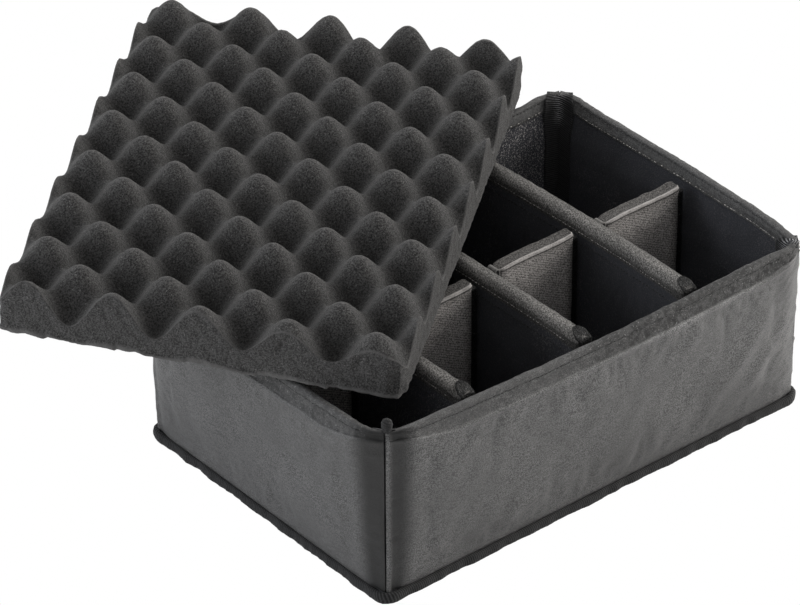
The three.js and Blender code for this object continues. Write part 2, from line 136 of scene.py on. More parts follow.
# The same for the cloth that is gathered at a corner, as lengths from the seam and below the crest
CORNER_FOLDS = (
    ((40 * MM, 16.5 * MM), (2 * MM, 8 * MM), 1.7 * MM, 1.3 * MM),
    ((24 * MM, 9 * MM), (3 * MM, 3 * MM), 1.5 * MM, 1.0 * MM),
    ((14 * MM, 20 * MM), (2 * MM, 11 * MM), 2.2 * MM, -0.9 * MM),
)
# How strong the bead along a corner seam is at a wall's start and end
WELT = (1.0, 0.12)

# Little pleats beside the front left seam: the height of each and how far it is from the seam
SEAM_PLEATS = {
    "front": ((79 * MM, 5 * MM), (50 * MM, 5 * MM)),
    "left": ((82 * MM, 16 * MM), (53 * MM, 7 * MM)),
    "right": (),
    "back": (),
}
# The end of each wall that meets a seam with a shaded strip of cloth beside it
SEAM_SIDE = {"front": -1, "left": 1, "right": 1, "back": -1}

# Stitching
STITCH_PITCH = 3.3 * MM
STITCH_LENGTH = 2.5 * MM
THREAD_RADIUS = 0.3 * MM

# Hooks of the hook tape
HOOK_HEIGHT = 0.8 * MM
HOOK_RADIUS = 0.17 * MM

# Dividers
LONG_DIVIDERS = ("right", "middle", "left")
CROSS_DIVIDERS = ("right", "right_middle", "left_middle", "left")
CAP_DEPTH = 8.3 * MM
SLEEVE = 0.8 * MM
RIBBON = 0.8 * MM
RIBBON_BEND = 2.4 * MM
RIBBON_DROP = 0.7 * MM
RIBBON_LAY = 8.0 * MM
RIBBON_LIFT = 3.1 * MM
TAPE_STEP = 0.9 * MM
WRAP_REACH = 6.6 * MM - HOOK_HEIGHT
# Each row of stitches along a long divider: how far below its top, and the thread
SLEEVE_STITCHES = (
    ("upper", CAP_DEPTH - 1.1 * MM, "pale_thread"),
    ("lower", CAP_DEPTH + 6.5 * MM, "thread"),
)

# Lid pad
PAD_HEADING = math.radians(37.1)
PAD_WEB = 14 * MM
PAD_WAVE = 28.5 * MM
EGG_SPACING = 57.2 * MM
EGG_ROW = 27.2 * MM
EGG_ROW_SLANT = 0.052
EGG_COLUMN_SLANT = -0.032
FIRST_PEAK = (0.285, -0.07)
PAD_STEP = 1.25 * MM
PAD_TWIST = 5 * MM
PAD_LEFT_REACH = 1.8 * MM
# Each corner of the pad across and along, and the radius that it is softened by
PAD_CORNERS = ((0, 0, 3 * MM), (1, 0, 11 * MM), (1, 1, 5 * MM), (0, 1, 7 * MM))
# Where the cut sides have a row of points, from the upper face down, and where the underside has
PAD_LEVELS = (0.04, 0.1, 0.18, 0.28, 0.38, 0.48, 0.58, 0.68, 0.78, 0.86, 0.91, 0.95, 1.0)
PAD_RINGS = (0.97, 0.85, 0.6, 0.3, 0.06)
# Cuts in the front side: each from a length across and a height to another, and how deep
PAD_SLITS = (
    (182 * MM, 19 * MM, 189 * MM, 33 * MM, 3.0 * MM),
    (234 * MM, 16 * MM, 240 * MM, 32 * MM, 1.8 * MM),
)

# The photograph's camera
CAMERA_AZIMUTH = math.radians(-39.38)
CAMERA_ELEVATION = math.radians(32.89)
CAMERA_ROLL = math.radians(-0.23)
CAMERA_DISTANCE = 2.709
CAMERA_PAN = (-52.3 * MM, 19.3 * MM)
CAMERA_LENS = 180
CAMERA_SENSOR = 36

VELOUR_SPECK = (0.23, 0.22, 0.215)

FINISHES = {}


# Numbers on grids

def waves(points, length, seed, count=9):
    """A smooth field of about -1 to 1: cosines of nearly one wavelength in seeded directions."""
    rng = np.random.default_rng(seed)
    direction = unit(rng.normal(size=(count, points.shape[-1])))
    stretch = rng.uniform(0.7, 1.4, count) * TURN / length
    phase = rng.uniform(0, TURN, count)
    return np.cos(points @ (direction * stretch[:, None]).T + phase).sum(-1) / math.sqrt(count)


def ease(value, start, end):
    """0 below start, 1 above end, and 3t^2 - 2t^3 between."""
    share = part_of((value - start) / (end - start))
    return share * share * (3 - 2 * share)


def hump(value, centre, half_width):
    """A bell: e to the minus square of the distance over the half width."""
    return np.exp(-(((value - centre) / half_width) ** 2))


def part_of(value):
    """The value, kept between 0 and 1."""
    return np.clip(value, 0, 1)


def unit(vectors):
    """Vectors made one long."""
    return vectors / np.linalg.norm(vectors, axis=-1, keepdims=True)


def pairs(first, second):
    """Two tables that pair each number of the first row with each of the second."""
    return np.meshgrid(first, second, indexing="ij")


def running(line):
    """Running length along a line of points."""
    return np.concatenate([[0], np.cumsum(np.linalg.norm(np.diff(line, axis=0), axis=1))])


def outwards(plan):
    """Which way is out of a closed plan that runs counterclockwise, at each of its points."""
    ahead = unit(np.roll(plan, -1, 0) - np.roll(plan, 1, 0))
    return np.stack([ahead[:, 1], -ahead[:, 0]], -1)


def squarish(value, power):
    """A sine or cosine drawn towards a square's corners: its size to a power, with its sign."""
    return np.sign(value) * np.abs(value) ** power


def key_samples(counts):
    """Sample numbers along keys, with counts[i] steps between key i and the next."""
    steps = [index + np.arange(count) / count for index, count in enumerate(counts)]
    return np.concatenate([*steps, [len(counts)]])


def through(keys, samples):
    """A curve through keys of shape (..., k, d): between two keys, the cubic whose slope at
    each is half the step from its neighbour before to its neighbour after."""
    last = keys.shape[-2] - 1
    at = np.clip(np.floor(samples).astype(int), 0, last - 1)
    f = (samples - at)[:, None]
    before, here, there, after = (keys[..., np.clip(at + s, 0, last), :] for s in (-1, 0, 1, 2))
    line = 2 * here + (there - before) * f
    square = (2 * before - 5 * here + 4 * there - after) * f**2
    cube = (3 * here - before - 3 * there + after) * f**3
    return (line + square + cube) / 2


def normals_of(points, wrap=False):
    """Unit normals of a grid, the cross product of its two steps. wrap joins the second way round."""
    if wrap:
        step = (np.roll(points, -1, 1) - np.roll(points, 1, 1)) / 2
    else:
        step = np.gradient(points, axis=1)
    normal = np.cross(np.gradient(points, axis=0), step)
    return normal / np.maximum(np.linalg.norm(normal, axis=-1, keepdims=True), 1e-12)


def lengths_along(points, axis):
    """Running length along one way of a grid."""
    step = np.linalg.norm(np.diff(points, axis=axis), axis=-1)
    pad = [(0, 0), (0, 0)]
    pad[axis] = (1, 0)
    return np.pad(np.cumsum(step, axis=axis), pad)


def turned(points, turn):
    """Points turned about Z by a number of quarter turns."""
    x, y, z = np.moveaxis(points, -1, 0)
    for _ in range(turn % 4):
        x, y = -y, x
    return np.stack([x, y, z], -1)


def folds(across, up, creases):
    """Soft ridges: each is a bell across its line, and fades in and out along it as a half sine."""
    total = np.zeros(across.shape)
    for (x0, y0), (x1, y1), half_width, height in creases:
        run = np.array([x1 - x0, y1 - y0])
        length = np.linalg.norm(run)
        run = run / length
        along = (across - x0) * run[0] + (up - y0) * run[1]
        aside = (up - y0) * run[0] - (across - x0) * run[1]
        share = part_of(along / length)
        total += height * np.sin(math.pi * share) ** 0.8 * hump(aside, 0, half_width)
    return total


# Meshes

def surface(name, points, uv=None, wrap=(False, False), caps=False):
    """A mesh of squares over a grid of points, joined round where wrap says so. caps closes the
    first and last ring of a grid that is joined the second way, with fans round their middles."""
    rows, columns = points.shape[:2]
    i, j = pairs(np.arange(rows - (not wrap[0])), np.arange(columns - (not wrap[1])))
    corner_i = np.stack([i, i + 1, i + 1, i], -1).reshape(-1, 4)
    corner_j = np.stack([j, j, j + 1, j + 1], -1).reshape(-1, 4)
    squares = (corner_i % rows) * columns + corner_j % columns
    if uv is None:
        uv = np.stack([lengths_along(points, 0), lengths_along(points, 1)], -1)
    uv = np.pad(uv, [(0, 1), (0, 1), (0, 0)], mode="edge")
    vertices = points.reshape(-1, 3)
    faces = squares.tolist()
    loop_uv = uv[corner_i, corner_j].reshape(-1, 2)
    if caps:
        ring = np.arange(columns)
        ahead = (ring + 1) % columns
        first, last = len(vertices), len(vertices) + 1
        start = (rows - 1) * columns
        vertices = np.vstack([vertices, points[0].mean(0), points[-1].mean(0)])
        faces += np.stack([ring, ahead, np.full(columns, first)], -1).tolist()
        faces += np.stack([start + ahead, start + ring, np.full(columns, last)], -1).tolist()
        loop_uv = np.vstack([loop_uv, np.repeat(uv[:1, :1, :].reshape(1, 2), 6 * columns, 0)])
    mesh = smooth_mesh(name, vertices, faces)
    mesh.uv_layers.new(name="cloth").data.foreach_set("uv", loop_uv.astype(np.float32).ravel())
    if caps or all(wrap):
        fix_inside_out(mesh)
    return mesh


def smooth_mesh(name, vertices, faces):
    """A mesh that is shaded smooth."""
    mesh = bpy.data.meshes.new(name)
    mesh.from_pydata(vertices.tolist(), [], faces)
    mesh.polygons.foreach_set("use_smooth", np.ones(len(mesh.polygons), bool))
    return mesh


def tubes(name, rings):
    """One mesh of many small closed tubes, from the rings of points round each."""
    count, length, sides = rings.shape[:3]
    i, j = pairs(np.arange(length - 1), np.arange(sides))
    ahead = (j + 1) % sides
    here, there = i * sides, (i + 1) * sides
    square = np.stack([here + j, here + ahead, there + ahead, there + j], -1).reshape(-1, 4)
    offset = (np.arange(count) * length * sides)[:, None, None]
    faces = (square + offset).reshape(-1, 4).tolist()
    ends = np.stack([np.arange(sides)[::-1], (length - 1) * sides + np.arange(sides)])
    faces += (ends + offset).reshape(-1, sides).tolist()
    mesh = smooth_mesh(name, rings.reshape(-1, 3), faces)
    fix_inside_out(mesh)
    return mesh


def fix_inside_out(mesh):
    """Turns a closed mesh's faces round if they enclose a negative volume. That reorders each face's
    corners, so what is stored on them, such as the cloth coordinates, has to be there before."""
    mesh.calc_loop_triangles()
    corners = np.empty(len(mesh.vertices) * 3)
    mesh.vertices.foreach_get("co", corners)
    corners = corners.reshape(-1, 3)
    triangles = np.empty(len(mesh.loop_triangles) * 3, np.int32)
    mesh.loop_triangles.foreach_get("vertices", triangles)
    a, b, c = (corners[triangles.reshape(-1, 3)[:, k]] for k in range(3))
    if np.einsum("ij,ij->i", a, np.cross(b, c)).sum() < 0:
        mesh.flip_normals()


def point_values(mesh, name, values):
    """Stores one number for each of a mesh's first points, and 0 for the rest."""
    whole = np.zeros(len(mesh.vertices), np.float32)
    whole[: values.size] = values.ravel()
    mesh.attributes.new(name, "FLOAT", "POINT").data.foreach_set("value", whole)


def cut_size(points, wrap=False):
    """The size that a cloth was cut to: its grid's greatest length each way, and its area."""
    if wrap:
        points = np.concatenate([points, points[:, :1]], 1)
    one, other = points[1:, 1:] - points[:-1, :-1], points[:-1, 1:] - points[1:, :-1]
    area = np.linalg.norm(np.cross(one, other), axis=-1).sum() / 2
    size = (lengths_along(points, 0)[-1].max(), lengths_along(points, 1)[:, -1].max())
    return size, min(area, size[0] * size[1])


def in_scene(name, data):
    """A new object, linked to the scene."""
    made = bpy.data.objects.new(name, data)
    bpy.context.scene.collection.objects.link(made)
    return made


def settle(name, mesh, body, finishes, stands_for=(), thickness=0.0):
    """Puts a mesh in the scene as a piece that rides on a body. thickness is added on the inside."""
    piece = in_scene(name, mesh)
    for finish in finishes:
        mesh.materials.append(FINISHES[finish])
    if thickness:
        shell = piece.modifiers.new("cloth thickness", "SOLIDIFY")
        shell.thickness = thickness
        shell.offset = -1
        shell.use_even_offset = False
    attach(piece, body)
    if stands_for:
        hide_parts(*stands_for)
    return piece


def stitches(name, rows, body, lift=0.1 * MM, finish="thread"):
    """Thread along lines of points with normals: each stitch is a six-sided spindle that rises in
    the middle as half a sine and goes back into the cloth at both ends."""
    sides, rings = 6, 7
    share = np.linspace(0, 1, rings)
    angle = np.arange(sides) / sides * TURN
    parts = []
    for line, normal in rows:
        run = running(line)
        count = max(int((run[-1] - 2 * STITCH_LENGTH) / STITCH_PITCH), 1)
        start = (run[-1] - count * STITCH_PITCH) / 2 + np.arange(count) * STITCH_PITCH
        place = start[:, None] + share * STITCH_LENGTH
        centre = np.stack([np.interp(place, run, way) for way in line.T], -1)
        out = np.stack([np.interp(place, run, way) for way in normal.T], -1)
        side = unit(np.cross(np.gradient(centre, axis=1), out))
        rise = (np.sin(math.pi * share) * 0.35 * MM - 0.15 * MM + lift)[:, None]
        radius = THREAD_RADIUS * (0.45 + 0.55 * np.sin(math.pi * share) ** 0.5)
        centre = centre + out * rise
        ring = (
            centre[..., None, :]
            + radius[:, None, None] * np.cos(angle)[:, None] * side[..., None, :]
            + radius[:, None, None] * np.sin(angle)[:, None] * out[..., None, :]
        )
        parts.append(ring)
    return settle(name, tubes(name, np.concatenate(parts)), body, [finish])


def billow(points, normals, loose, pressure, slack, most, name):
    """Lets a grid of cloth hang by a simulation: loose is 0 where it is sewn down and 1 where it
    is free, slack is the share by which it is cut too large, and most caps how far it may move."""
    rows, columns = points.shape[:2]
    keep_i = np.unique(np.linspace(0, rows - 1, max(rows // 2, 2)).round().astype(int))
    keep_j = np.unique(np.linspace(0, columns - 1, max(columns // 2, 2)).round().astype(int))
    coarse = points[np.ix_(keep_i, keep_j)]
    trial = in_scene(f"{name}_loose", surface(f"{name}_loose", coarse))
    group = trial.vertex_groups.new(name="sewn")
    sewn = (1 - loose[np.ix_(keep_i, keep_j)]).ravel()
    for weight in np.unique(sewn.round(1)):
        group.add(np.flatnonzero(sewn.round(1) == weight).tolist(), float(weight), "REPLACE")
    cloth = trial.modifiers.new("cloth", "CLOTH")
    settings = cloth.settings
    settings.quality = 5
    settings.mass = 0.15
    settings.tension_stiffness = 25
    settings.compression_stiffness = 25
    settings.bending_stiffness = 0.35
    settings.shrink_min = -slack
    settings.use_pressure = True
    settings.uniform_pressure_force = pressure
    settings.vertex_group_mass = "sewn"
    settings.effector_weights.gravity = 0
    cloth.collision_settings.use_collision = False
    cloth.point_cache.frame_start = 1
    cloth.point_cache.frame_end = CLOTH_FRAMES
    for number in range(1, CLOTH_FRAMES + 1):
        bpy.context.scene.frame_set(number)
    shown = trial.evaluated_get(bpy.context.evaluated_depsgraph_get()).to_mesh()
    moved = np.empty(len(shown.vertices) * 3)
    shown.vertices.foreach_get("co", moved)
    shift = moved.reshape(coarse.shape) - coarse
    bpy.context.scene.frame_set(1)
    bpy.data.objects.remove(trial)
    shift = between(shift, keep_i, rows, 0)
    shift = between(shift, keep_j, columns, 1)
    size = np.linalg.norm(shift, axis=-1, keepdims=True)
    shift = shift * most * np.tanh(size / most) / np.maximum(size, 1e-9)
    inward = np.minimum((shift * normals).sum(-1, keepdims=True), 0)
    shift = shift - inward * normals * 0.75
    return points + shift


def between(field, kept, count, axis):
    """Values at every grid line from those at the kept ones, in straight steps."""
    whole = np.arange(count)
    low = np.clip(np.searchsorted(kept, whole, side="right") - 1, 0, len(kept) - 2)
    share = (whole - kept[low]) / (kept[low + 1] - kept[low])
    shape = [1, 1, 1]
    shape[axis] = count
    share = share.reshape(shape)
    return np.take(field, low, axis) * (1 - share) + np.take(field, low + 1, axis) * share


# Finishes

class Wire:
    """A node's output, so that sums on it add math nodes."""

    def __init__(self, paint, socket):
        self.paint = paint
        self.socket = socket

    def sum(self, operation, first, second=None):
        values = {0: first} if second is None else {0: first, 1: second}
        return self.paint.node("ShaderNodeMath", values, operation=operation)

    def __add__(self, other):
        return self.sum("ADD", self, other)

    def __radd__(self, other):
        return self.sum("ADD", other, self)

    def __sub__(self, other):
        return self.sum("SUBTRACT", self, other)

    def __rsub__(self, other):
        return self.sum("SUBTRACT", other, self)

    def __mul__(self, other):
        return self.sum("MULTIPLY", self, other)

    def __rmul__(self, other):
        return self.sum("MULTIPLY", other, self)

    def __pow__(self, other):
        return self.sum("POWER", self, other)

    def sine(self):
        return self.sum("SINE", self)

    def size(self):
        return self.sum("ABSOLUTE", self)

    def above(self, start, end):
        """0 below start, 1 above end, and a smooth step between."""
        values = {"Value": self, "From Min": start, "From Max": end}
        return self.paint.node("ShaderNodeMapRange", values, interpolation_type="SMOOTHSTEP")


class Paint:
    """One finish: a material with one surface shader, and the nodes that feed it."""

    def __init__(self, name, **constants):
        self.material = bpy.data.materials.new(name)
        self.material.use_nodes = True
        self.tree = self.material.node_tree
        self.shader = self.tree.nodes["Principled BSDF"]
        for key, value in constants.items():
            self.feed(self.shader.inputs[self.label(key)], value)
        FINISHES[name] = self.material

    def label(self, key):
        """The shader's own name for an input: specular_ior_level is Specular IOR Level."""
        return key.replace("_", " ").title().replace("Ior", "IOR")

    def feed(self, socket, value):
        if isinstance(value, Wire):
            self.tree.links.new(value.socket, socket)
        else:
            socket.default_value = value

    def node(self, kind, values=None, output=0, **settings):
        made = self.tree.nodes.new(kind)
        for key, value in settings.items():
            setattr(made, key, value)
        for key, value in (values or {}).items():
            self.feed(made.inputs[key], value)
        return Wire(self, made.outputs[output])

    def set(self, **values):
        for key, value in values.items():
            self.feed(self.shader.inputs[self.label(key)], value)

    def place(self):
        return self.node("ShaderNodeTexCoord", output=3)

    def cloth(self):
        """The two ways along the cloth, in metres."""
        split = self.node("ShaderNodeSeparateXYZ", {0: self.node("ShaderNodeUVMap", uv_map="cloth")})
        return split, Wire(self, split.socket.node.outputs[1])

    def noise(self, length, detail=2.0, roughness=0.5):
        """Even noise of one grain size, about 0 to 1."""
        values = {"Vector": self.place(), "Scale": 1 / length, "Detail": detail, "Roughness": roughness}
        return self.node("ShaderNodeTexNoise", values)

    def streaks(self, across, up, detail=2.0):
        """Noise drawn out along the cloth: grains of one length across and another up."""
        turned = self.node(
            "ShaderNodeVectorMath",
            {0: self.node("ShaderNodeUVMap", uv_map="cloth"), 1: (1 / across, 1 / up, 1)},
            operation="MULTIPLY",
        )
        return self.node("ShaderNodeTexNoise", {"Vector": turned, "Scale": 1.0, "Detail": detail})

    def cells(self, length):
        """Distance to the nearest of points scattered one length apart."""
        return self.node("ShaderNodeTexVoronoi", {"Vector": self.place(), "Scale": 1 / length})

    def attribute(self, name):
        """A number that is stored on the mesh's points."""
        return self.node("ShaderNodeAttribute", output=2, attribute_name=name)

    def scaled(self, colour, factor):
        return self.node("ShaderNodeVectorMath", {0: colour, 3: factor}, operation="SCALE")

    def blend(self, factor, first, second):
        values = {0: factor, 6: first, 7: second}
        return self.node("ShaderNodeMix", values, output=2, data_type="RGBA")

    def bump(self, height, depth):
        """A bump whose height runs from 0 to depth."""
        return self.node("ShaderNodeBump", {"Height": height, "Distance": depth, "Strength": 1.0})


def shade(colour, factor):
    """A colour made lighter or darker."""
    return (*(min(channel * factor, 1.0) for channel in colour), 1.0)


def nylon_finish(colour):
    """Satin woven nylon: a fine grain, streaks along the weft, an uneven sheen and faint stains, with its
    colour scaled by painted light: painted shade beside the corner seams and a painted highlight along the
    ridge.
    """
    paint = Paint("nylon", sheen_weight=0.04, sheen_roughness=0.35, specular_ior_level=0.5)
    grain = paint.noise(0.85 * MM, detail=2.0, roughness=0.85)
    weft = paint.streaks(10 * MM, 1.0 * MM)
    broad = paint.noise(45 * MM)
    mottle = grain * 0.85 + weft * 0.15
    lit = paint.blend(mottle.above(0.42, 0.58), shade(colour, 0.25), shade(colour, 1.8))
    patchy = paint.noise(4 * MM, detail=3.0, roughness=0.75)
    worn = paint.attribute("worn")
    plain = paint.blend(broad.above(0.3, 0.7) * 0.5, lit, shade(colour, 0.82))
    dark = paint.blend(worn * (0.45 + 0.45 * patchy.above(0.44, 0.58)), plain, shade(colour, 0.16))
    frayed = paint.noise(1.3 * MM, detail=1.0).above(0.66, 0.74)
    mixed = paint.blend(worn * frayed * 0.8, dark, shade(colour, 2.4))
    paint.set(
        # painted light: the colour is scaled by the painted shade and highlight stored on the wall's cloth
        base_color=paint.scaled(mixed, paint.attribute("painted_light")),
        roughness=0.42 + 0.16 * grain.above(0.3, 0.7) + 0.3 * worn,
        normal=paint.bump(mottle, 0.2 * MM),
    )


def velour_finish(colour, name="velour", raised=0.15):
    """Brushed loop cloth: nearly black, with loose loops that catch the light as specks, thick in some
    places and brushed flat in others. The specks are painted glints, and raised makes more and brighter
    ones for a lining that faces the lamps."""
    paint = Paint(name, roughness=0.95, specular_ior_level=0.15, sheen_weight=0.06)
    loops = paint.noise(1.2 * MM, detail=3.0, roughness=0.8)
    brushed = paint.noise(70 * MM, detail=1.0).above(0.42, 0.62)
    # painted glints: raised makes the specks thicker and brighter
    speck = loops.above(0.54, 0.62) * (raised + (1 - raised) * 0.5 * brushed)
    paint.set(
        base_color=paint.blend(speck, shade(colour, 0.8), shade(VELOUR_SPECK, 1 + raised)),
        normal=paint.bump(loops, 0.7 * MM),
    )


def knit_finish(colour, name="knit", ordered=0.07):
    """Fine knitted loop cloth: small loops in slanting rows, broken up by loose fibres, with its colour
    scaled by the painted shade that each divider stores.
    """
    paint = Paint(name, roughness=0.9, specular_ior_level=0.2, sheen_weight=0.05)
    columns = 1.0 * MM
    across, up = paint.cloth()
    fibres = paint.noise(1.0 * MM, detail=3.0, roughness=0.8)
    ticks = paint.streaks(columns * 0.9, columns * 1.5)
    rows = 0.5 + 0.5 * ((across * 0.5 + up) * (TURN / (1.9 * columns))).sine()
    loops = rows * ordered + ticks * 0.35 + fibres * 0.65
    mixed = paint.blend(loops.above(0.42, 0.66), shade(colour, 0.3), shade(colour, 1.85))
    paint.set(
        # painted shade and shadow from the divider's painted light
        base_color=paint.scaled(mixed, paint.attribute("painted_light")),
        normal=paint.bump(loops, 0.3 * MM),
    )


def trim_finish(colour, name="trim"):
    """The smooth folded edge of the loop cloth: faint streaks and worn spots along it."""
    paint = Paint(name, roughness=0.75, specular_ior_level=0.3, sheen_weight=0.1)
    along = paint.streaks(9 * MM, 0.8 * MM)
    fibres = paint.noise(1.1 * MM, detail=2.0, roughness=0.7)
    mixed = (along * 0.5 + fibres * 0.5).above(0.35, 0.62)
    paint.set(
        base_color=paint.blend(mixed, shade(colour, 0.6), shade(colour, 1.25)),
        normal=paint.bump(fibres, 0.15 * MM),
    )


def tape_finish(colour, name="tape", ribbed=0.5):
    """Ribbed woven tape: ribs across it, a little aslant, each lighter along its crest, and a painted
    highlight on the ribs near the fold at the top of a corner tape.
    """
    paint = Paint(name, roughness=0.82, specular_ior_level=0.25, sheen_weight=0.08)
    across, up = paint.cloth()
    rib = 1.6 * MM
    ribs = 0.5 + 0.5 * ((across + up * 0.25) * (TURN / rib)).sine()
    fibres = paint.noise(1.0 * MM, detail=3.0, roughness=0.8)
    relief = ribs * ribbed + fibres * (1.3 - ribbed)
    # painted highlight: ribs near the fold, high up in a corner, made much lighter
    painted_fold_highlight = paint.attribute("painted_fold_highlight")
    plain = paint.blend(relief.above(0.4, 1.0), shade(colour, 0.4), shade(colour, 3.0))
    paint.set(
        base_color=paint.blend(painted_fold_highlight * relief.above(0.62, 0.86), plain, shade(colour, 22)),
        normal=paint.bump(relief, 0.35 * MM),
    )


def hook_finish(colour):
    """A bed of stiff plastic hooks: black, and bright where a hook's bend faces the light."""
    paint = Paint("hook", roughness=0.5, specular_ior_level=0.3)
    hooks = paint.cells(1.15 * MM)
    bends = paint.noise(1.3 * MM, detail=2.0, roughness=0.7).above(0.63, 0.7)
    paint.set(
        base_color=paint.blend(bends, shade(colour, 0.4), shade(colour, 14)),
        normal=paint.bump(1 - hooks, 0.6 * MM),
    )


def egg_foam_finish(colour):
    """Open-cell foam: small dark cells between lighter struts, and here and there a bright one, with
    painted shade in the hollows and saddles between the peaks.
    """
    paint = Paint(
        "egg_foam", roughness=0.97, specular_ior_level=0.1, sheen_weight=0.12, sheen_roughness=0.6
    )
    cells = paint.noise(1.15 * MM, detail=3.0, roughness=0.85)
    broad = paint.noise(60 * MM)
    lit = paint.blend(cells.above(0.42, 0.58), shade(colour, 0.3), shade(colour, 1.8))
    bright = paint.noise(1.25 * MM, detail=1.0).above(0.66, 0.74)
    speckled = paint.blend(bright, lit, shade(colour, 3.2))
    edge = paint.attribute("cut_edge")
    # painted shade: down to half as light deep in the hollows and saddles
    deep = paint.scaled(speckled, 1.0 - 0.5 * paint.attribute("hollow").above(0.08, 0.85))
    faded = paint.blend(broad * 0.2, deep, shade(colour, 0.8))
    paint.set(
        base_color=paint.blend(edge * 0.9, faded, shade(colour, 2.4)),
        normal=paint.bump(cells, 0.6 * MM),
    )


def padding_finish(colour):
    """Closed-cell foam sheet: a fine even skin of small bubbles."""
    paint = Paint("padding", roughness=0.85, specular_ior_level=0.25)
    bubbles = paint.cells(1.6 * MM)
    paint.set(
        base_color=paint.blend(bubbles.above(0.1, 0.7), shade(colour, 1.1), shade(colour, 0.8)),
        normal=paint.bump(bubbles, 0.15 * MM),
    )


def board_finish(colour):
    """Stiff plastic board with a fine pressed grain."""
    paint = Paint("board", specular_ior_level=0.4)
    grain = paint.noise(0.9 * MM, detail=3.0)
    paint.set(
        base_color=paint.blend(grain.above(0.3, 0.7), shade(colour, 0.85), shade(colour, 1.15)),
        roughness=0.5 + 0.2 * grain,
        normal=paint.bump(grain, 0.08 * MM),
    )


def thread_finish(colour, name):
    """Sewing thread: two strands twisted, dull in most places and bright where it turns up."""
    paint = Paint(name, roughness=0.55, specular_ior_level=0.4)
    twist = paint.noise(1.7 * MM, detail=2.0, roughness=0.7)
    paint.set(
        base_color=paint.blend(twist.above(0.45, 0.62), shade(colour, 0.5), shade(colour, 5.0)),
        normal=paint.bump(twist, 0.1 * MM),
    )


# Walls

def at_end(side, amounts):
    """The first of two amounts at a wall's start, and the second at its end."""
    return np.where(side < 0, *amounts)


def flare_at(depth):
    """How much of the rim's lean is left below the crest: all at the rim and none past the flare."""
    return part_of((FLARE - depth) / (FLARE - RIM_HALF))


def rim_centre(wall, margin, side):
    """How far the rim's middle leans outside the seam line, most half way along."""
    share = side * (wall["half"] - margin) / wall["half"]
    start, end = wall["lean"]
    return start + (end - start) * (share + 1) / 2 + wall["bow"] * (1 - share**2)


def round_in(margin):
    """0 at a corner seam and 1 where the wall runs straight, with a parabola between."""
    return 1 - (1 - part_of(margin / END_ROUND)) ** 2


def rim_top(wall, margin, side):
    """The rim's height: it comes down to each corner, first slowly and then faster."""
    dip, peak = at_end(side, wall["dip"]), at_end(side, wall["peak"])
    slow = part_of(1 - margin / DIP_RUN) ** 2
    short = part_of(1 - margin / PEAK_RUN) ** 2
    return CREST - SEAM_DROP * (1 - round_in(margin)) - (dip - SEAM_DROP) * slow + peak * short


def stations(half):
    """Places along a wall, close together where its ends round in to the corner seams."""
    ends = END_ROUND * (1 - np.cos(np.linspace(0, math.pi / 2, 17))) ** 0.8
    count = int((half - END_ROUND) / STATION_STEP)
    middle = np.linspace(END_ROUND, half, count + 1)[1:]
    margin = np.concatenate([ends, middle])
    side = np.repeat([-1.0, 1.0], [len(margin), len(margin) - 1])
    return np.concatenate([margin, margin[-2::-1]]), side


def wall_keys(wall, margin, side):
    """Key points of a wall's outline: how far outside the seam line, and how high. The outline
    goes up the outer face to the ridge, over the stitched rim and down to the turned-in hem. Near
    a corner seam every point draws in."""
    full, centre, top = round_in(margin), rim_centre(wall, margin, side), rim_top(wall, margin, side)
    ridge = centre + RIM_HALF + 0.6 * MM
    lean = ridge - FOOT_BULGE
    narrow = 0.45 + 0.55 * ease(margin, 4 * MM, 50 * MM)
    drop = 15.5 * MM * narrow
    face = top - drop - FOOT
    hem_share = (HEM - RIM_HALF) / (FLARE - RIM_HALF)
    hem = centre - RIM_HALF - centre * hem_share
    keys = [
        (FOOT_BULGE, FOOT, 1),
        (FOOT_BULGE + lean * 0.12 + 0.7 * MM, FOOT + face * 0.10, 1),
        (FOOT_BULGE + lean * 0.38 + 1.2 * MM, FOOT + face * 0.36, 1),
        (FOOT_BULGE + lean * 0.68 + 1.0 * MM, FOOT + face * 0.68, 1),
        (FOOT_BULGE + lean * 0.92 + 0.4 * MM, FOOT + face * 0.92, 1),
        (ridge, top - drop, 1),
        (ridge - 0.9 * MM * narrow, top - drop * 0.885, 1),
        (ridge - 2.0 * MM * narrow, top - drop * 0.72, 1),
        (ridge - 2.5 * MM * narrow, top - drop * 0.52, 1),
        (ridge - 2.7 * MM * narrow, top - drop * 0.34, 1),
        (ridge - 1.9 * MM, top - drop * 0.21, 1),
        (centre + 2.0 * MM, top - 0.9 * MM * narrow, 1),
        (centre, top, 0.5),
        (centre - 2.6 * MM, top - 0.8 * MM, 0),
        (centre - RIM_HALF + 0.5 * MM, top - 2.3 * MM, 0),
        (centre - RIM_HALF - 0.3 * MM, top - 4.8 * MM, 0),
        (hem - 0.5 * MM, top - 7.6 * MM, 0),
        (hem - 0.7 * MM, top - HEM, 0),
    ]
    points = []
    for out, height, outer in keys:
        back = INNER_INSET * (1 - outer)
        points.append(np.stack([full * (out + back) - back, height + 0 * full], -1))
    return np.stack(points, -2)


OUTER_COUNTS = (5, 14, 16, 14, 6, 3, 3, 4, 4, 3, 3, 3, 3, 3, 3, 3, 4)
STITCH_OUTER = 9
STITCH_INNER = 14
STITCH_HEM = 16.3


def stand(wall, margin, side, section):
    """Stands a wall's outlines along it, in the front wall's place. The inner side is mitred."""
    mitre = np.clip(1 - margin / END_ROUND, 0, None)[:, None]
    out, height = section[..., 0], section[..., 1]
    along = wall["half"] - margin[:, None] + mitre * (np.minimum(out, 0) - SEAM_GAP)
    return np.stack([side[:, None] * along, -wall["reach"] - out, height], -1)


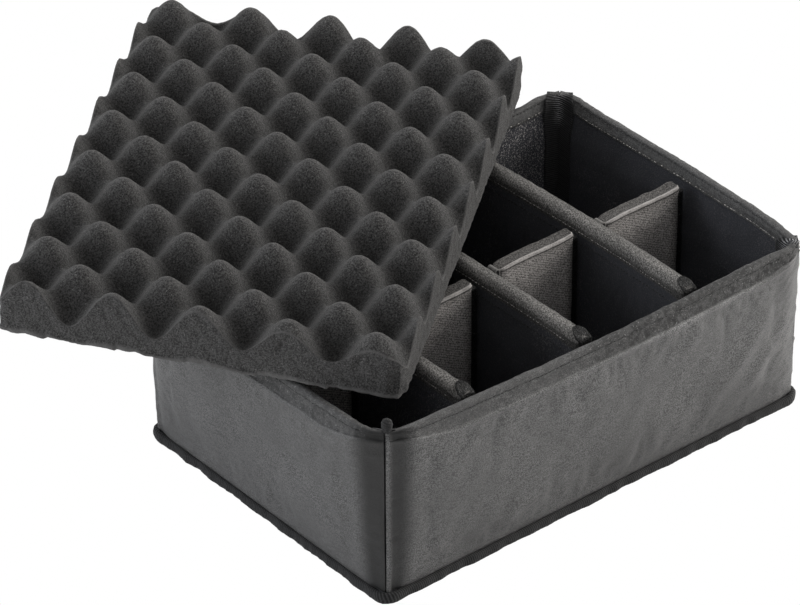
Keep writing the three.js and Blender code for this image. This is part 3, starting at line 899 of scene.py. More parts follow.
def wall_relief(name, wall, margin, side, samples, points):
    """How far the cloth stands off its outline: broad billows, tension folds, puckers along the
    stitches, a bead at each corner seam and a hollow beside it."""
    seed = 40 + 7 * wall["turn"]
    along = points[..., 0]
    height = points[..., 2]
    flat = np.stack([along, height + points[..., 1]], -1)
    key = np.broadcast_to(samples, along.shape)
    rise = (height - FOOT) / WALL_HEIGHT
    face = ease(rise, 0.0, 0.12) * (1 - ease(key, 4.2, 5.2))
    relief = 0.55 * MM * waves(flat, 75 * MM, seed) * face
    relief += 0.22 * MM * waves(flat, 24 * MM, seed + 1) * face
    half = wall["half"]
    creases = [
        ((x0 * half, y0 * WALL_HEIGHT), (x1 * half, y1 * WALL_HEIGHT), half_width, size)
        for (x0, y0), (x1, y1), half_width, size in WALL_FOLDS[name]
    ]
    relief += folds(along, height - FOOT, creases) * (1 - ease(key, 4.5, 5.3))
    band = ease(key, 5.2, 6.2) * (1 - ease(key, 10.5, 12))
    stretched = np.stack([along, key * 2.2 * MM], -1)
    gathered = 0.35 + 0.65 * ease(waves(along[..., None], 120 * MM, seed + 6), -0.6, 0.5)
    puckers = 0.36 * MM * waves(stretched, 8.0 * MM, seed + 2)
    relief += puckers * band * gathered * (1 - ease(key, 9.0, 10.5))
    relief -= 0.45 * MM * hump(key, STITCH_OUTER, 0.45)
    relief += 0.6 * MM * hump(key, 5.0, 0.33)
    rim = ease(key, 8.2, 9.5)
    relief += 0.13 * MM * waves(stretched, 5.5 * MM, seed + 3) * rim * gathered
    relief += 0.22 * MM * waves(stretched, 23 * MM, seed + 8) * rim
    relief -= 0.3 * MM * hump(key, STITCH_INNER, 0.45)
    ridge_wave = waves(np.stack([along, 0 * along], -1), 30 * MM, seed + 4)
    relief += 0.35 * MM * ridge_wave * hump(key, 5.0, 0.8)
    edge = margin[:, None]
    gather = folds(edge + 0 * key, CREST - height, CORNER_FOLDS)
    relief += gather * at_end(side, wall["gather"])[:, None] * (1 - ease(key, 10, 12))
    outer = 1 - ease(key, 9.0, 11.0)
    bead = 1.25 * MM * hump(edge, 2.0 * MM, 1.3 * MM) - 0.5 * MM * hump(edge, 7 * MM, 3 * MM)
    relief += outer * at_end(side, WELT)[:, None] * bead
    pucker = waves(np.stack([0 * height + side[:, None], height / (11 * MM)], -1), 1.0, seed + 5)
    relief += outer * 0.4 * MM * np.maximum(pucker, 0) ** 2 * hump(edge, 5 * MM, 5 * MM)
    for level, middle in SEAM_PLEATS[name]:
        pleat = hump(height - edge * 0.12, level, 1.0 * MM) * hump(edge, middle, 5 * MM)
        relief -= outer * 1.1 * MM * pleat * (side[:, None] == SEAM_SIDE[name])
    return relief * ease(edge, 0, 1.5 * MM)


def make_wall(name, wall):
    """One wall: its nylon cover, its foam, its velour lining and its three rows of stitches."""
    margin, side = stations(wall["half"])
    samples = key_samples(OUTER_COUNTS)
    section = through(wall_keys(wall, margin, side), samples)
    points = stand(wall, margin, side, section)
    normals = normals_of(points)
    key = np.broadcast_to(samples, points.shape[:2])
    loose = ease(margin, 4 * MM, 40 * MM)[:, None] * ease(key, 0.3, 1.2) * (1 - ease(key, 3.9, 4.9))
    points = billow(points, normals, loose, 0.5, 0.012, 2.4 * MM, name)
    relief = wall_relief(name, wall, margin, side, samples, points)
    up = lengths_along(points, 1)
    points = points + normals * relief[..., None]
    uv = np.stack([points[..., 0], up], -1)
    mesh = surface(f"{name}_wall_cloth", turned(points, wall["turn"]), uv)
    worn_from = 4.4 if name in ("left", "back") else 5.3
    front_wear = 0.55 + 0.45 * ease(points[..., 0], -60 * MM, 20 * MM)
    wear = {"right": 0.5, "back": 0.6, "left": 0.8, "front": front_wear}[name]
    point_values(mesh, "worn", ease(key, worn_from, 6.3) * wear)
    # painted shade beside the seam and painted highlight along the ridge, as a factor on the cloth's colour
    point_values(mesh, "painted_light", cloth_painted_light(name, margin, side, key))
    cloth = settle(f"{name}_wall_cloth", mesh, "tray", ["nylon"], [f"{name}_wall_cover"], CLOTH)
    size, area = cut_size(points)

    rows = []
    normals = normals_of(points)
    for stitch_key, trim in ((STITCH_OUTER, 8), (STITCH_INNER, 12), (STITCH_HEM, 12)):
        at = int(np.argmin(np.abs(samples - stitch_key)))
        rows.append([turned(values[trim:-trim, at], wall["turn"]) for values in (points, normals)])
    stitches(f"{name}_rim_stitching", rows[:2], "tray")
    stitches(f"{name}_hem_stitching", rows[2:], "tray", finish="pale_thread")
    make_lining(name, wall, margin, side)
    make_wall_padding(name, wall, margin, side, section)


def cloth_painted_light(name, margin, side, key):
    """Painted light on a wall's cloth: painted shade in a strip beside the sewn seam, where its sheen turns
    away, but not on the welt next to the thread, and, on the front wall, a painted highlight along the
    ridge below the rim, stronger on its right half."""
    edge = margin[:, None] + 0 * key
    strip = 1 - ease(edge, 8 * MM, 21 * MM)
    if name in ("front", "back"):
        strip = strip * ease(edge, 1.6 * MM, 3.6 * MM)
    strip = strip * (side[:, None] == SEAM_SIDE[name]) * (1 - ease(key, 10.5, 12))
    ridge = hump(key, 5.0, 0.42) * ease(edge, 30 * MM, 70 * MM) * (name == "front")
    return (1 - 0.86 * strip) * (1 + 0.55 * ridge * (0.4 + 0.6 * (side[:, None] > 0)))


def make_lining(name, wall, margin, side):
    """The velour on a wall's inner face, from behind the hem down to the foot."""
    full, centre, top = round_in(margin), rim_centre(wall, margin, side), rim_top(wall, margin, side)
    depth = np.array([7.5, 10.5, 16, 24, 32, 50, 75, 100]) * MM
    out = full[:, None] * centre[:, None] * flare_at(depth) - INNER_INSET + 0.35 * MM
    height = top[:, None] - depth
    foot = np.stack([out[:, -1], np.full(len(margin), FOOT + 0.2 * MM)], -1)[:, None]
    keys = np.concatenate([np.stack([out, height], -1), foot], 1)
    section = through(keys, key_samples((2, 3, 4, 4, 9, 12, 12, 10)))
    points = stand(wall, margin, side, section)
    normals = normals_of(points)
    lumps = 0.3 * MM * waves(points, 18 * MM, 61 + wall["turn"]) * ease(margin, 0, 8 * MM)[:, None]
    points = points + normals * np.minimum(lumps, 0.3 * MM)[..., None]
    uv = np.stack([points[..., 0], lengths_along(points, 1)], -1)
    mesh = surface(f"{name}_wall_velour", turned(points, wall["turn"]), uv)
    # the back wall's lining, whose inner face the lamps light, gets more painted glints
    cloth = settle(
        f"{name}_wall_velour", mesh, "tray",
        ["glinting_velour" if name == "back" else "velour"], [f"{name}_wall_lining"], LINING,
    )
    size, area = cut_size(points)


def make_wall_padding(name, wall, margin, side, section):
    """The foam sheet inside a wall: the cover's outline moved in, and closed along the lining."""
    inside = margin >= END_ROUND
    gap = CLOTH + 1.9 * MM
    outer = section[inside][:, 2:-10:4]
    step = unit(np.gradient(outer, axis=1))
    outer = outer + gap * np.stack([-step[..., 1], step[..., 0]], -1)
    outer[:, 0, 1] = FOOT + 0.5 * MM
    depth = np.array([20, 34, 60, 90]) * MM
    centre = rim_centre(wall, margin[inside], side[inside])[:, None]
    out = centre * flare_at(depth) - INNER_INSET + gap
    inner = np.stack([out, rim_top(wall, margin, side)[inside, None] - depth], -1)
    foot = np.stack([out[:, -1:], np.full((inside.sum(), 1), FOOT + 0.5 * MM)], -1)
    ring = np.concatenate([outer, inner, foot], 1)
    points = stand(wall, margin[inside], side[inside], ring)
    mesh = surface(f"{name}_wall_padding", turned(points, wall["turn"]), wrap=(False, True), caps=True)
    settle(
        f"{name}_wall_padding", mesh, "tray", ["padding"], [f"{name}_wall_foam"],
    )


# Base

def round_rectangle(half_x, half_y, radius, step):
    """Points evenly round a rectangle with round corners, counterclockwise from the right side."""
    straight_x, straight_y = half_x - radius, half_y - radius
    corner = np.linspace(0, math.pi / 2, max(int(radius * math.pi / 2 / step), 4) + 1)
    parts = []
    quarters = ((1, 1, (-1, 0)), (-1, 1, (0, -1)), (-1, -1, (1, 0)), (1, -1, (0, 1)))
    for quarter, (sx, sy, ahead) in enumerate(quarters):
        angle = corner + quarter * math.pi / 2
        centre = np.array([sx * straight_x, sy * straight_y])
        arc = centre + radius * np.stack([np.cos(angle), np.sin(angle)], -1)
        run = 2 * (straight_x if quarter % 2 == 0 else straight_y)
        count = int(run / step)
        line = arc[-1] + np.array(ahead) * (np.arange(1, count) / count * run)[:, None]
        parts += [arc, line]
    return np.concatenate(parts)


def make_binding():
    """Ribbed tape round the base: a rounded band, fuller in places and bunched at the corners,
    whose lower edge waves a little above the ground."""
    inner = 1.0 * MM
    radius = 8.5 * MM
    plan = round_rectangle(SEAM_X + inner, SEAM_Y + inner, radius - inner, 2.0 * MM)
    out = outwards(plan)
    run = running(plan)
    angle = np.linspace(0, TURN, 25)[:-1]
    fuller = 0.35 * MM * waves(plan, 26 * MM, 5) + 0.3 * MM * waves(plan, 9 * MM, 6)
    corner = hump(np.abs(plan[:, 0]), SEAM_X, 12 * MM) * hump(np.abs(plan[:, 1]), SEAM_Y, 12 * MM)
    width = 3.9 * MM + fuller + 0.8 * MM * corner
    lowest = np.maximum(0.35 * MM + 0.45 * MM * waves(plan, 34 * MM, 7), 0.02 * MM)
    top = BASE_TOP + 0.1 * MM + 0.25 * MM * waves(plan, 22 * MM, 8) + 0.5 * MM * corner
    round_x, round_z = squarish(np.cos(angle), 0.75), squarish(np.sin(angle), 0.75)
    offset = width[:, None] * (0.5 + 0.5 * round_x)
    height = lowest[:, None] + (top - lowest)[:, None] * (0.5 + 0.5 * round_z)
    flat = plan[:, None, :] + out[:, None, :] * offset[..., None]
    points = np.concatenate([flat, height[..., None]], -1)
    ribs = np.sin(run * TURN / (4 * MM))[:, None]
    points[..., :2] += (0.12 * MM * ribs * np.maximum(round_x, 0))[..., None] * out[:, None, :]
    uv = np.stack(np.broadcast_arrays(run[:, None], angle * 3 * MM), -1)
    mesh = surface("base_binding_tape", points, uv, wrap=(True, True))
    settle("base_binding_tape", mesh, "tray", ["tape"], ["base_binding"])


def slab(name, node, finish, wave, seed):
    """A cloth or lining sheet of the base: rings of one outline over its rounded edge, then in
    towards the middle on both faces. wave lifts its upper face a little here and there."""
    low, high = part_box(node)
    outline = round_rectangle(high.x, high.y, 4.5 * MM, 5 * MM)
    thickness = high.z - low.z
    edge = np.linspace(-math.pi / 2, math.pi / 2, 7)
    inset = (thickness / 2) * (1 - np.cos(edge))
    level = low.z + (thickness / 2) * (1 + np.sin(edge))
    shrink = np.array([0.04, 0.12, 0.3, 0.55, 0.8, 0.96])
    scale = np.concatenate([1 - shrink[::-1], 1 - inset / high.x, 1 - shrink])
    level = np.concatenate([np.full(6, low.z), level, np.full(6, high.z)])
    upper = np.concatenate([np.zeros(12), [0], np.ones(6)])
    flat = outline[None] * scale[:, None, None]
    height = np.broadcast_to(level[:, None], flat.shape[:2])
    points = np.concatenate([flat, height[..., None]], -1)
    points[..., 2] -= wave * upper[:, None] * (0.5 + 0.5 * waves(points[..., :2], 60 * MM, seed))
    mesh = surface(name, points, uv=points[..., :2], wrap=(False, True), caps=True)
    sheet = settle(name, mesh, "tray", [finish], [node])


# Corner tapes

def make_corner_tape(name, corner):
    """Ribbed tape over a corner seam: folded along its middle into the inner corner, so that half of
    it lies along each wall, and laid back over the top. At the left corners its end is folded up."""
    sx, sy, walls = CORNERS[name]
    crest = CREST - corner * MM
    knob = sx < 0
    climb = np.linspace(FOOT + 0.3 * MM, crest - 3.5 * MM, 110)
    depth = (crest - climb)[:, None]
    flare = flare_at(depth)
    aside = np.linspace(-1, 1, 21)
    start = INNER_INSET + 1.2 * MM
    reach = (6.5 * MM if knob else 10.5 * MM) + 1.5 * MM * ease(depth, 2 * MM, 12 * MM)
    along = start + reach * np.sqrt(aside**2 + 0.004)
    off = start + 0.8 * MM * ease(-depth, -14 * MM, -9 * MM) + 0 * along
    on_first = aside * sx * sy > 0
    for (wall, end), half in zip(walls, (on_first, ~on_first)):
        off -= rim_centre(WALLS[wall], along, end) * flare * round_in(along) * half
    inward = (along + off) / math.sqrt(2)
    lateral = np.sign(aside) * (along - off) / math.sqrt(2)
    over = through(
        np.array([(0.0, -3.5), (-0.4, -1.4), (-1.9, 0.3), (-4.2 if knob else -6.0, 0.4)]),
        key_samples((4, 4, 4)),
    )[1:] * MM
    flatter = np.linspace(1, 0.2, len(over))[:, None] ** 1.5
    middle = inward[-1, 10]
    inward = np.concatenate([inward, middle + over[:, :1] + (inward[-1] - middle) * flatter])
    lateral = np.concatenate([lateral, lateral[-1] * (0.94 + 0.06 * flatter)])
    raised = 0.4 * MM * aside**2 * (1 - flatter)
    height = np.concatenate([climb[:, None] + 0 * along, crest + over[:, 1:] + raised])
    middle_line = np.stack([inward[:, 10], height[:, 10]], -1)
    run = running(middle_line)[:, None]
    inward = inward + 0.15 * MM * waves(np.stack([lateral, 0 * lateral + run], -1), 9 * MM, 31)
    points = corner_place(sx, sy, inward, lateral, height)
    uv = np.stack([0 * lateral + run, lateral], -1)
    normals = normals_of(points)
    if normals[10, 10] @ [-sx, -sy, 0] < 0:
        points, uv, normals = points[:, ::-1], uv[:, ::-1], -normals[:, ::-1]
    points = points + normals * (0.14 * MM * np.sin(run / (1.6 * MM) * TURN))[..., None]
    mesh = surface(f"{name}_corner_tape", points, uv)
    # painted highlight along the tape's fold near the crest, fading out 10 to 24 mm down into the corner's
    # shade
    near_fold = hump(uv[..., 1], 0, 3.2 * MM)
    point_values(mesh, "painted_fold_highlight", near_fold * (1 - ease(CREST - height, 10 * MM, 24 * MM)))
    tape = settle(
        f"{name}_corner_tape", mesh, "tray", ["tape"], [f"{name}_corner_binding"], 0.8 * MM
    )
    size, area = cut_size(points)
    if knob:
        make_tape_knob(name, sx, sy, crest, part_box(f"{name}_corner_binding")[1].z)


def corner_place(sx, sy, inward, lateral, height):
    """Points from how far they are inside a corner seam along its diagonal, and aside of it."""
    diagonal = 1 / math.sqrt(2)
    x = sx * (SEAM_X - diagonal * (inward - sx * sy * lateral))
    y = sy * (SEAM_Y - diagonal * (inward + sx * sy * lateral))
    return np.stack([x, y, np.broadcast_to(height, x.shape)], -1)


def make_tape_knob(name, sx, sy, crest, top):
    """The tape's end, folded up in a small dome with ribs round it."""
    dome = np.linspace(0, math.pi / 2, 22)[1:]
    rise = np.concatenate([np.linspace(-1.0, 0, 12), np.sin(dome)])
    close = np.concatenate([np.linspace(0.72, 1, 12), np.cos(dome) * 0.98 + 0.02])
    middle = top - 5.4 * MM
    height = middle + np.where(rise < 0, rise * (middle - crest + 4 * MM), rise * 4.2 * MM)
    angle = np.linspace(0, TURN, 33)[:-1]
    lumps = waves(np.stack(pairs(height, angle * 3 * MM), -1), 3.2 * MM, 37)
    ribs = 1 + 0.025 * np.sin(height / (1.5 * MM) * TURN)[:, None] + 0.05 * lumps
    wide = (3.7 * MM * close)[:, None] * ribs
    deep = (3.3 * MM * close)[:, None] * ribs
    inward = 3.6 * MM + deep * np.cos(angle)
    lateral = wide * np.sin(angle) - 1.1 * MM * sx * sy
    points = corner_place(sx, sy, inward, lateral, height[:, None] + 0 * inward)
    uv = np.stack([height[:, None] + 0 * inward, angle * 3.5 * MM + 0 * inward], -1)
    mesh = surface(f"{name}_tape_knob", points, uv, wrap=(False, True), caps=True)
    settle(f"{name}_tape_knob", mesh, "tray", ["knob_tape"])


# Dividers

def divider_section(half, low, high, top_round, foot_round, pillow):
    """A divider's outline from the middle of its foot up one side, over the top and down the
    other: straight sides that swell by pillow, round shoulders and a rounder foot."""
    def arc(x, z, radius, start, count):
        angle = start + np.linspace(0, -math.pi / 2, count)
        return np.stack([x + radius * np.cos(angle), z + radius * np.sin(angle)], -1)

    rise = np.linspace(0, 1, 42)[1:-1]
    straight = (high - top_round) - (low + foot_round)
    side_z = low + foot_round + straight * rise
    swell = half + pillow * np.sin(math.pi * rise)
    left = np.concatenate([
        [[0, low]],
        [[-half + foot_round + 0.2 * MM, low]],
        arc(-half + foot_round, low + foot_round, foot_round, 1.5 * math.pi, 6),
        np.stack([-swell, side_z], -1),
        arc(-half + top_round, high - top_round, top_round, math.pi, 9),
    ])
    flat = max(half - top_round, 0) * np.array([-0.6, -0.2])
    roof = np.stack([flat, np.full(2, high)], -1)
    half_outline = np.concatenate([left, roof])
    mirrored = half_outline[1:][::-1] * [-1, 1]
    return np.concatenate([half_outline, mirrored])


def make_divider(name, kind, axis_y, shape):
    """One divider: sleeve, foam, a hook strip on each end, and on a long one the stitches along its edges.
    It is shaped along X with its middle at zero, then set in its place. A long one runs along Y."""
    body = f"{name}_{kind}_divider"
    low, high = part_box(f"{body}_cover")
    middle = np.array([(low.x + high.x) / 2, (low.y + high.y) / 2])
    length = high.y - low.y if axis_y else high.x - low.x
    half = (high.x - low.x if axis_y else high.y - low.y) / 2
    count = int(length / (2.0 * MM))
    end = 5 * MM
    inner = np.linspace(-length / 2 + end, length / 2 - end, count)
    curl = end * (1 - np.cos(np.linspace(0, math.pi / 2, 7)))[:-1]
    along = np.concatenate([-length / 2 + curl, inner, (length / 2 - curl)[::-1]])
    section = divider_section(half, low.z, high.z, shape["round"], 3 * MM, shape["pillow"])
    edge = length / 2 - np.abs(along)
    near_end = 1 - part_of(edge / end)
    thin = 1 - 0.35 * (1 - np.sqrt(part_of(1 - near_end**2)))
    wide = 1 + shape["flare"] * hump(edge, 0, 14 * MM)
    x, z = (values.copy() for values in np.broadcast_arrays(along[:, None], section[:, 1]))
    y = section[:, 0] * (thin * wide)[:, None]
    upper = ease(z, high.z - 30 * MM, high.z)
    z += upper * shape["lift"](along / length * 2)[:, None]
    points = np.stack([x, y, z], -1)
    normals = normals_of(points, wrap=True)
    sewn_side = ease(high.z - CAP_DEPTH - z, 0, 12 * MM) * ease(z, low.z, low.z + 14 * MM)
    loose = sewn_side * ease(edge, 0, 25 * MM)[:, None]
    relief = 0.5 * MM * waves(points * [1, 3, 1], 38 * MM, shape["seed"]) * loose
    relief += 0.22 * MM * waves(points * [1, 3, 1], 11 * MM, shape["seed"] + 1) * loose
    near_top = hump(z, high.z, 9 * MM)
    relief += 0.18 * MM * waves(points * [1, 2, 1], 9 * MM, shape["seed"] + 2) * near_top
    relief += shape["full"] * (1 - ease(high.z - z, 3 * MM, 12 * MM)) * ease(edge, 0, 6 * MM)[:, None]
    below = high.z - z
    if kind == "long":
        relief -= 0.55 * MM * hump(below, CAP_DEPTH, 0.9 * MM) * (np.abs(y) > 0.5 * half)
        relief -= 0.3 * MM * ease(below, CAP_DEPTH, CAP_DEPTH + 1.5 * MM)
        relief += 0.35 * MM * hump(below, CAP_DEPTH + 6.5 * MM, 0.9 * MM)
    else:
        roof = 1 - ease(below, 1.5 * MM, 3.5 * MM)
        relief += 0.9 * MM * hump(y, -0.88 * half, 0.22 * half) * roof
        relief -= 0.75 * MM * hump(y, -0.48 * half, 0.16 * half) * roof
        relief -= 0.4 * MM * hump(y, 0.1 * half, 0.12 * half) * roof
        relief += 0.4 * MM * hump(y, 0.8 * half, 0.3 * half) * roof
        relief -= 0.45 * MM * hump(below, 4.4 * MM, 1.4 * MM) * (np.abs(y) > 0.5 * half)
    points = points + normals * relief[..., None]
    points[..., 1] += shape["bend"](along / length * 2)[:, None]

    def placed(local, moved=True):
        return turned(local, int(axis_y)) + [*(middle * moved), 0]

    uv = np.stack([x, np.broadcast_to(lengths_along(points[len(along) // 2][None], 1), x.shape)], -1)
    mesh = surface(f"{body}_sleeve", placed(points), uv, wrap=(False, True))
    cloth = np.where(high.z - section[:, 1] < shape["cap"], 0, 1)
    if kind == "cross":
        folded = (section[:, 0] < -0.66 * half) & (high.z - section[:, 1] < 1.7 * MM)
        cloth = np.where(folded, 2, cloth)
    cloth = np.broadcast_to(cloth, (len(along) - 1, len(section)))
    mesh.polygons.foreach_set("material_index", cloth.astype(np.int32).ravel())
    # painted shade on the sleeve's cloth, from the shape's painted-light function
    point_values(mesh, "painted_light", shape["painted_light"](x / length * 2, y / half, below, edge[:, None]) + 0 * x)
    sleeve = settle(
        f"{body}_sleeve", mesh, body, shape["finishes"], [f"{body}_cover"], SLEEVE
    )
    size, area = cut_size(points, wrap=True)

    core = points[6:-6:4, ::2] - normals[6:-6:4, ::2] * (SLEEVE + 0.9 * MM)
    mesh = surface(f"{body}_padding", placed(core), wrap=(False, True), caps=True)
    settle(f"{body}_padding", mesh, body, ["padding"], [f"{body}_foam"])

    if kind == "long":
        for row, depth, finish in SLEEVE_STITCHES:
            rows = []
            for first in (0, len(section) // 2):
                flank = section[first : first + len(section) // 2, 1]
                at = first + int(np.argmin(np.abs(flank - (high.z - depth))))
                rows.append((placed(points[8:-8, at]), placed(normals[8:-8, at], moved=False)))
            stitches(f"{body}_{row}_stitching", rows, body, finish=finish)
    for end_name, sign in (("near", -1), ("far", 1)):
        make_hook_strip(body, end_name, sign, length, half, high.z, shape, placed)


def make_hook_strip(body, end_name, sign, length, half, high, shape, placed):
    """Hook tape on a divider's end. On a long divider it is a flat ribbon up the end, whose top curls over
    it. On a short one it is folded round the narrower end, and at the near end it sticks up in a small tab."""
    node = f"{body}_{end_name}_hook_strip"
    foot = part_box(node)[0].z
    base = length / 2 + 0.3 * MM
    lift = shape["lift"](np.array([sign * 0.99]))[0]
    shift = shape["bend"](np.array([sign * 1.0]))[0]
    if shape["folded"]:
        points, normals = end_wrap(base, WRAP_REACH, half - 2.4 * MM, foot, high - 5 * MM, lift)
        if sign < 0:
            tab = end_tab(base, half - 1.6 * MM, high + lift + 1.4 * MM) * [-1, 1, 1]
            mesh = surface(f"{body}_hook_tape_tab", placed(tab), wrap=(False, True), caps=True)
            settle(f"{body}_hook_tape_tab", mesh, body, ["tab"])
    else:
        points, normals = end_ribbon(base, half - 0.3 * MM, foot, high + lift)
    points = points * [sign, 1, 1] + [0, shift, 0]
    normals = normals * [sign, 1, 1]
    mesh = surface(f"{body}_{end_name}_hook_tape", placed(points), wrap=(False, True), caps=True)
    settle(f"{body}_{end_name}_hook_tape", mesh, body, ["hook"], [node])
    facing = placed(normals, moved=False)
    rng = np.random.default_rng(shape["seed"] + (sign > 0))
    rows = np.arange(1, len(points) - 1)
    outside = np.flatnonzero(shape["studded"](points.shape[1]))
    grid = np.stack(pairs(rows, outside), -1).reshape(-1, 2)
    grid = grid[(grid.sum(1) % 2) == 0]
    spots = placed(points)[grid[:, 0], grid[:, 1]]
    ways = facing[grid[:, 0], grid[:, 1]]
    make_hooks(f"{body}_{end_name}_hooks", spots, ways, body, rng)


def end_ribbon(base, width, low, high):
    """A flat ribbon up a divider's end, bent over its top through a quarter turn, then laid along
    the top with a round end."""
    turn_x, turn_z = base - RIBBON_BEND, high - RIBBON_DROP
    rise = np.arange(low, turn_z - RIBBON_BEND, TAPE_STEP)
    angle = np.linspace(0, math.pi / 2, 9)[1:]
    lay = np.linspace(0, 1, 8)[1:]
    path_x = np.concatenate([
        np.full(len(rise), base), turn_x + RIBBON_BEND * np.cos(angle), turn_x - RIBBON_LAY * lay
    ])
    path_z = np.concatenate([
        rise, turn_z - RIBBON_BEND + RIBBON_BEND * np.sin(angle),
        turn_z + (RIBBON_DROP + RIBBON_LIFT) * lay**0.6,
    ])
    out_x = np.concatenate([np.ones(len(rise)), np.cos(angle), np.zeros(7)])
    out_z = np.concatenate([np.zeros(len(rise)), np.sin(angle), np.ones(7)])
    taper = np.concatenate([np.ones(len(rise) + 8), np.sqrt(1 - 0.97 * lay**2)])[:, None]
    flat = np.linspace(-1, 1, 12)
    edge_y = np.concatenate([flat, [1.03], flat[::-1], [-1.03]]) * width * taper
    edge_t = np.concatenate([np.ones(12), [0.5], np.zeros(12), [0.5]]) * RIBBON
    facing = np.concatenate([np.ones(12), [0], -np.ones(12), [0]])
    x = path_x[:, None] + out_x[:, None] * edge_t
    z = path_z[:, None] + out_z[:, None] * edge_t
    y = np.broadcast_to(edge_y, x.shape)
    sideways = np.where(facing == 0, np.sign(edge_y), 0)
    normals = np.stack([out_x[:, None] * facing, sideways, out_z[:, None] * facing], -1)
    return np.stack([x, y, z], -1), normals


def end_tab(base, width, top):
    """The loose end of a folded tape: it comes up beside the divider and curls outwards."""
    radius = 2.0 * MM
    angle = np.linspace(math.pi, -0.35 * math.pi, 22)[1:]
    spiral = radius * np.linspace(1, 0.7, 22)[1:]
    middle, level = base + radius + 0.5 * MM, top - radius
    x = np.concatenate([np.full(6, middle - radius), middle + spiral * np.cos(angle)])
    z = np.concatenate([level - np.linspace(7 * MM, 0, 6), level + spiral * np.sin(angle)])
    path = np.stack([x, z], -1)
    ahead = unit(np.gradient(path, axis=0))
    out = np.stack([-ahead[:, 1], ahead[:, 0]], -1)
    flat = np.linspace(-1, 1, 10)
    across = np.concatenate([flat, flat[::-1]]) * width - 0.6 * MM
    thick = np.repeat([0.45 * MM, -0.45 * MM], 10)
    points = path[:, None] + out[:, None] * thick[:, None]
    return np.stack([points[..., 0], np.broadcast_to(across, points.shape[:2]), points[..., 1]], -1)


def end_wrap(base, reach, width, low, high, lift):
    """Tape folded round a divider's end: a rounded block whose top leans over and is pinched."""
    top = high + lift
    height = np.arange(low, top + 0.2 * MM, TAPE_STEP)
    angle = np.linspace(0, TURN, 25)[:-1]
    round_x, round_y = squarish(np.cos(angle), 0.62), squarish(np.sin(angle), 0.62)
    close = np.sqrt(part_of(1 - ease(height, top - 3 * MM, top + 1.4 * MM) ** 2))
    lumps = 1 + 0.05 * waves(np.stack(pairs(height, angle * 2 * MM), -1), 9 * MM, 17)
    x = base + reach / 2 + (reach / 2 * close)[:, None] * round_x
    y = (width * close)[:, None] * round_y * np.minimum(lumps, 1.06)
    z = np.broadcast_to(height[:, None], x.shape)
    normals = np.stack([np.cos(angle) + 0 * x, np.sin(angle) + 0 * x, 0 * x], -1)
    return np.stack([x, y, z], -1), normals


def make_hooks(name, spots, ways, body, rng):
    """Small hooks on a tape: each is a three-sided stalk that stands on its spot and bends over in
    a direction of its own."""
    share = np.array([0.0, 0.55, 0.9, 1.0])
    count = len(spots)
    aside = rng.normal(size=(count, 3))
    aside -= (aside * ways).sum(-1, keepdims=True) * ways
    aside /= np.maximum(np.linalg.norm(aside, axis=-1, keepdims=True), 1e-9)
    across = np.cross(ways, aside)
    bend = np.array([0.0, 0.0, 0.3, 0.75])
    height = HOOK_HEIGHT * 0.82 * share
    centre = (
        spots[:, None]
        + ways[:, None] * height[:, None]
        + aside[:, None] * (bend * HOOK_HEIGHT)[:, None]
    )
    angle = np.arange(3) / 3 * TURN
    radius = HOOK_RADIUS * np.array([1.0, 0.9, 0.8, 0.7])[:, None, None]
    ring = centre[:, :, None] + radius * (
        np.cos(angle)[:, None] * across[:, None, None] + np.sin(angle)[:, None] * aside[:, None, None]
    )
    settle(name, tubes(name, ring), body, ["hook"])


# Lid pad

def pad_pose():
    """The pad's flat underside in the frame: its corner, its ways across, along and up, its four
    corners as lengths across and along, from the left front one round."""
    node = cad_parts["lid_pad"]
    spots = np.empty(len(node.data.vertices) * 3)
    node.data.vertices.foreach_get("co", spots)
    spots = spots.reshape(-1, 3)
    along = np.array([math.cos(PAD_HEADING), math.sin(PAD_HEADING), 0])
    across = np.array([math.sin(PAD_HEADING), -math.cos(PAD_HEADING), 0])

    def corner(sign_across, sign_along):
        score = spots @ (sign_across * across + sign_along * along)
        near = spots[score > score.max() - 4 * MM]
        return near[np.argmin(near[:, 2])]

    corners = np.array([corner(-1, -1), corner(1, -1), corner(1, 1), corner(-1, 1)])
    start = corners[0]
    across = corners[1] - start
    across /= np.linalg.norm(across)
    up = np.cross(across, corners[2] - corners[1])
    up /= np.linalg.norm(up)
    along = np.cross(up, across)
    flat = np.stack([(corners - start) @ across, (corners - start) @ along], -1)
    return start, across, along, up, flat


def egg_height(u, v):
    """The foam's upper face: rows of peaks, each row half a pitch aside from the next, as the
    product of two cosines on slanted axes, with fuller peaks than hollows. Also how near a point is
    to a saddle between peaks, as the product of the two squared sines."""
    lattice = np.array([
        [EGG_SPACING, EGG_COLUMN_SLANT * EGG_ROW],
        [EGG_ROW_SLANT * EGG_SPACING, EGG_ROW],
    ])
    shifted = np.stack([u - FIRST_PEAK[0] * EGG_SPACING, v - FIRST_PEAK[1] * EGG_ROW], -1)
    column, row = np.moveaxis(shifted @ np.linalg.inv(lattice).T, -1, 0)
    first, second = np.cos(TURN * column), np.cos(math.pi * row)
    wave = (1 + first * second) / 2
    return PAD_WEB + PAD_WAVE * wave**0.92, (1 - first**2) * (1 - second**2)


def pad_bend(u, v, width, length):
    """How far the soft pad's back end bends: up at its right corner, and down at its left one."""
    return PAD_TWIST * ease(v, 0.35 * length, 1.1 * length) * (2 * u / width - 0.95)


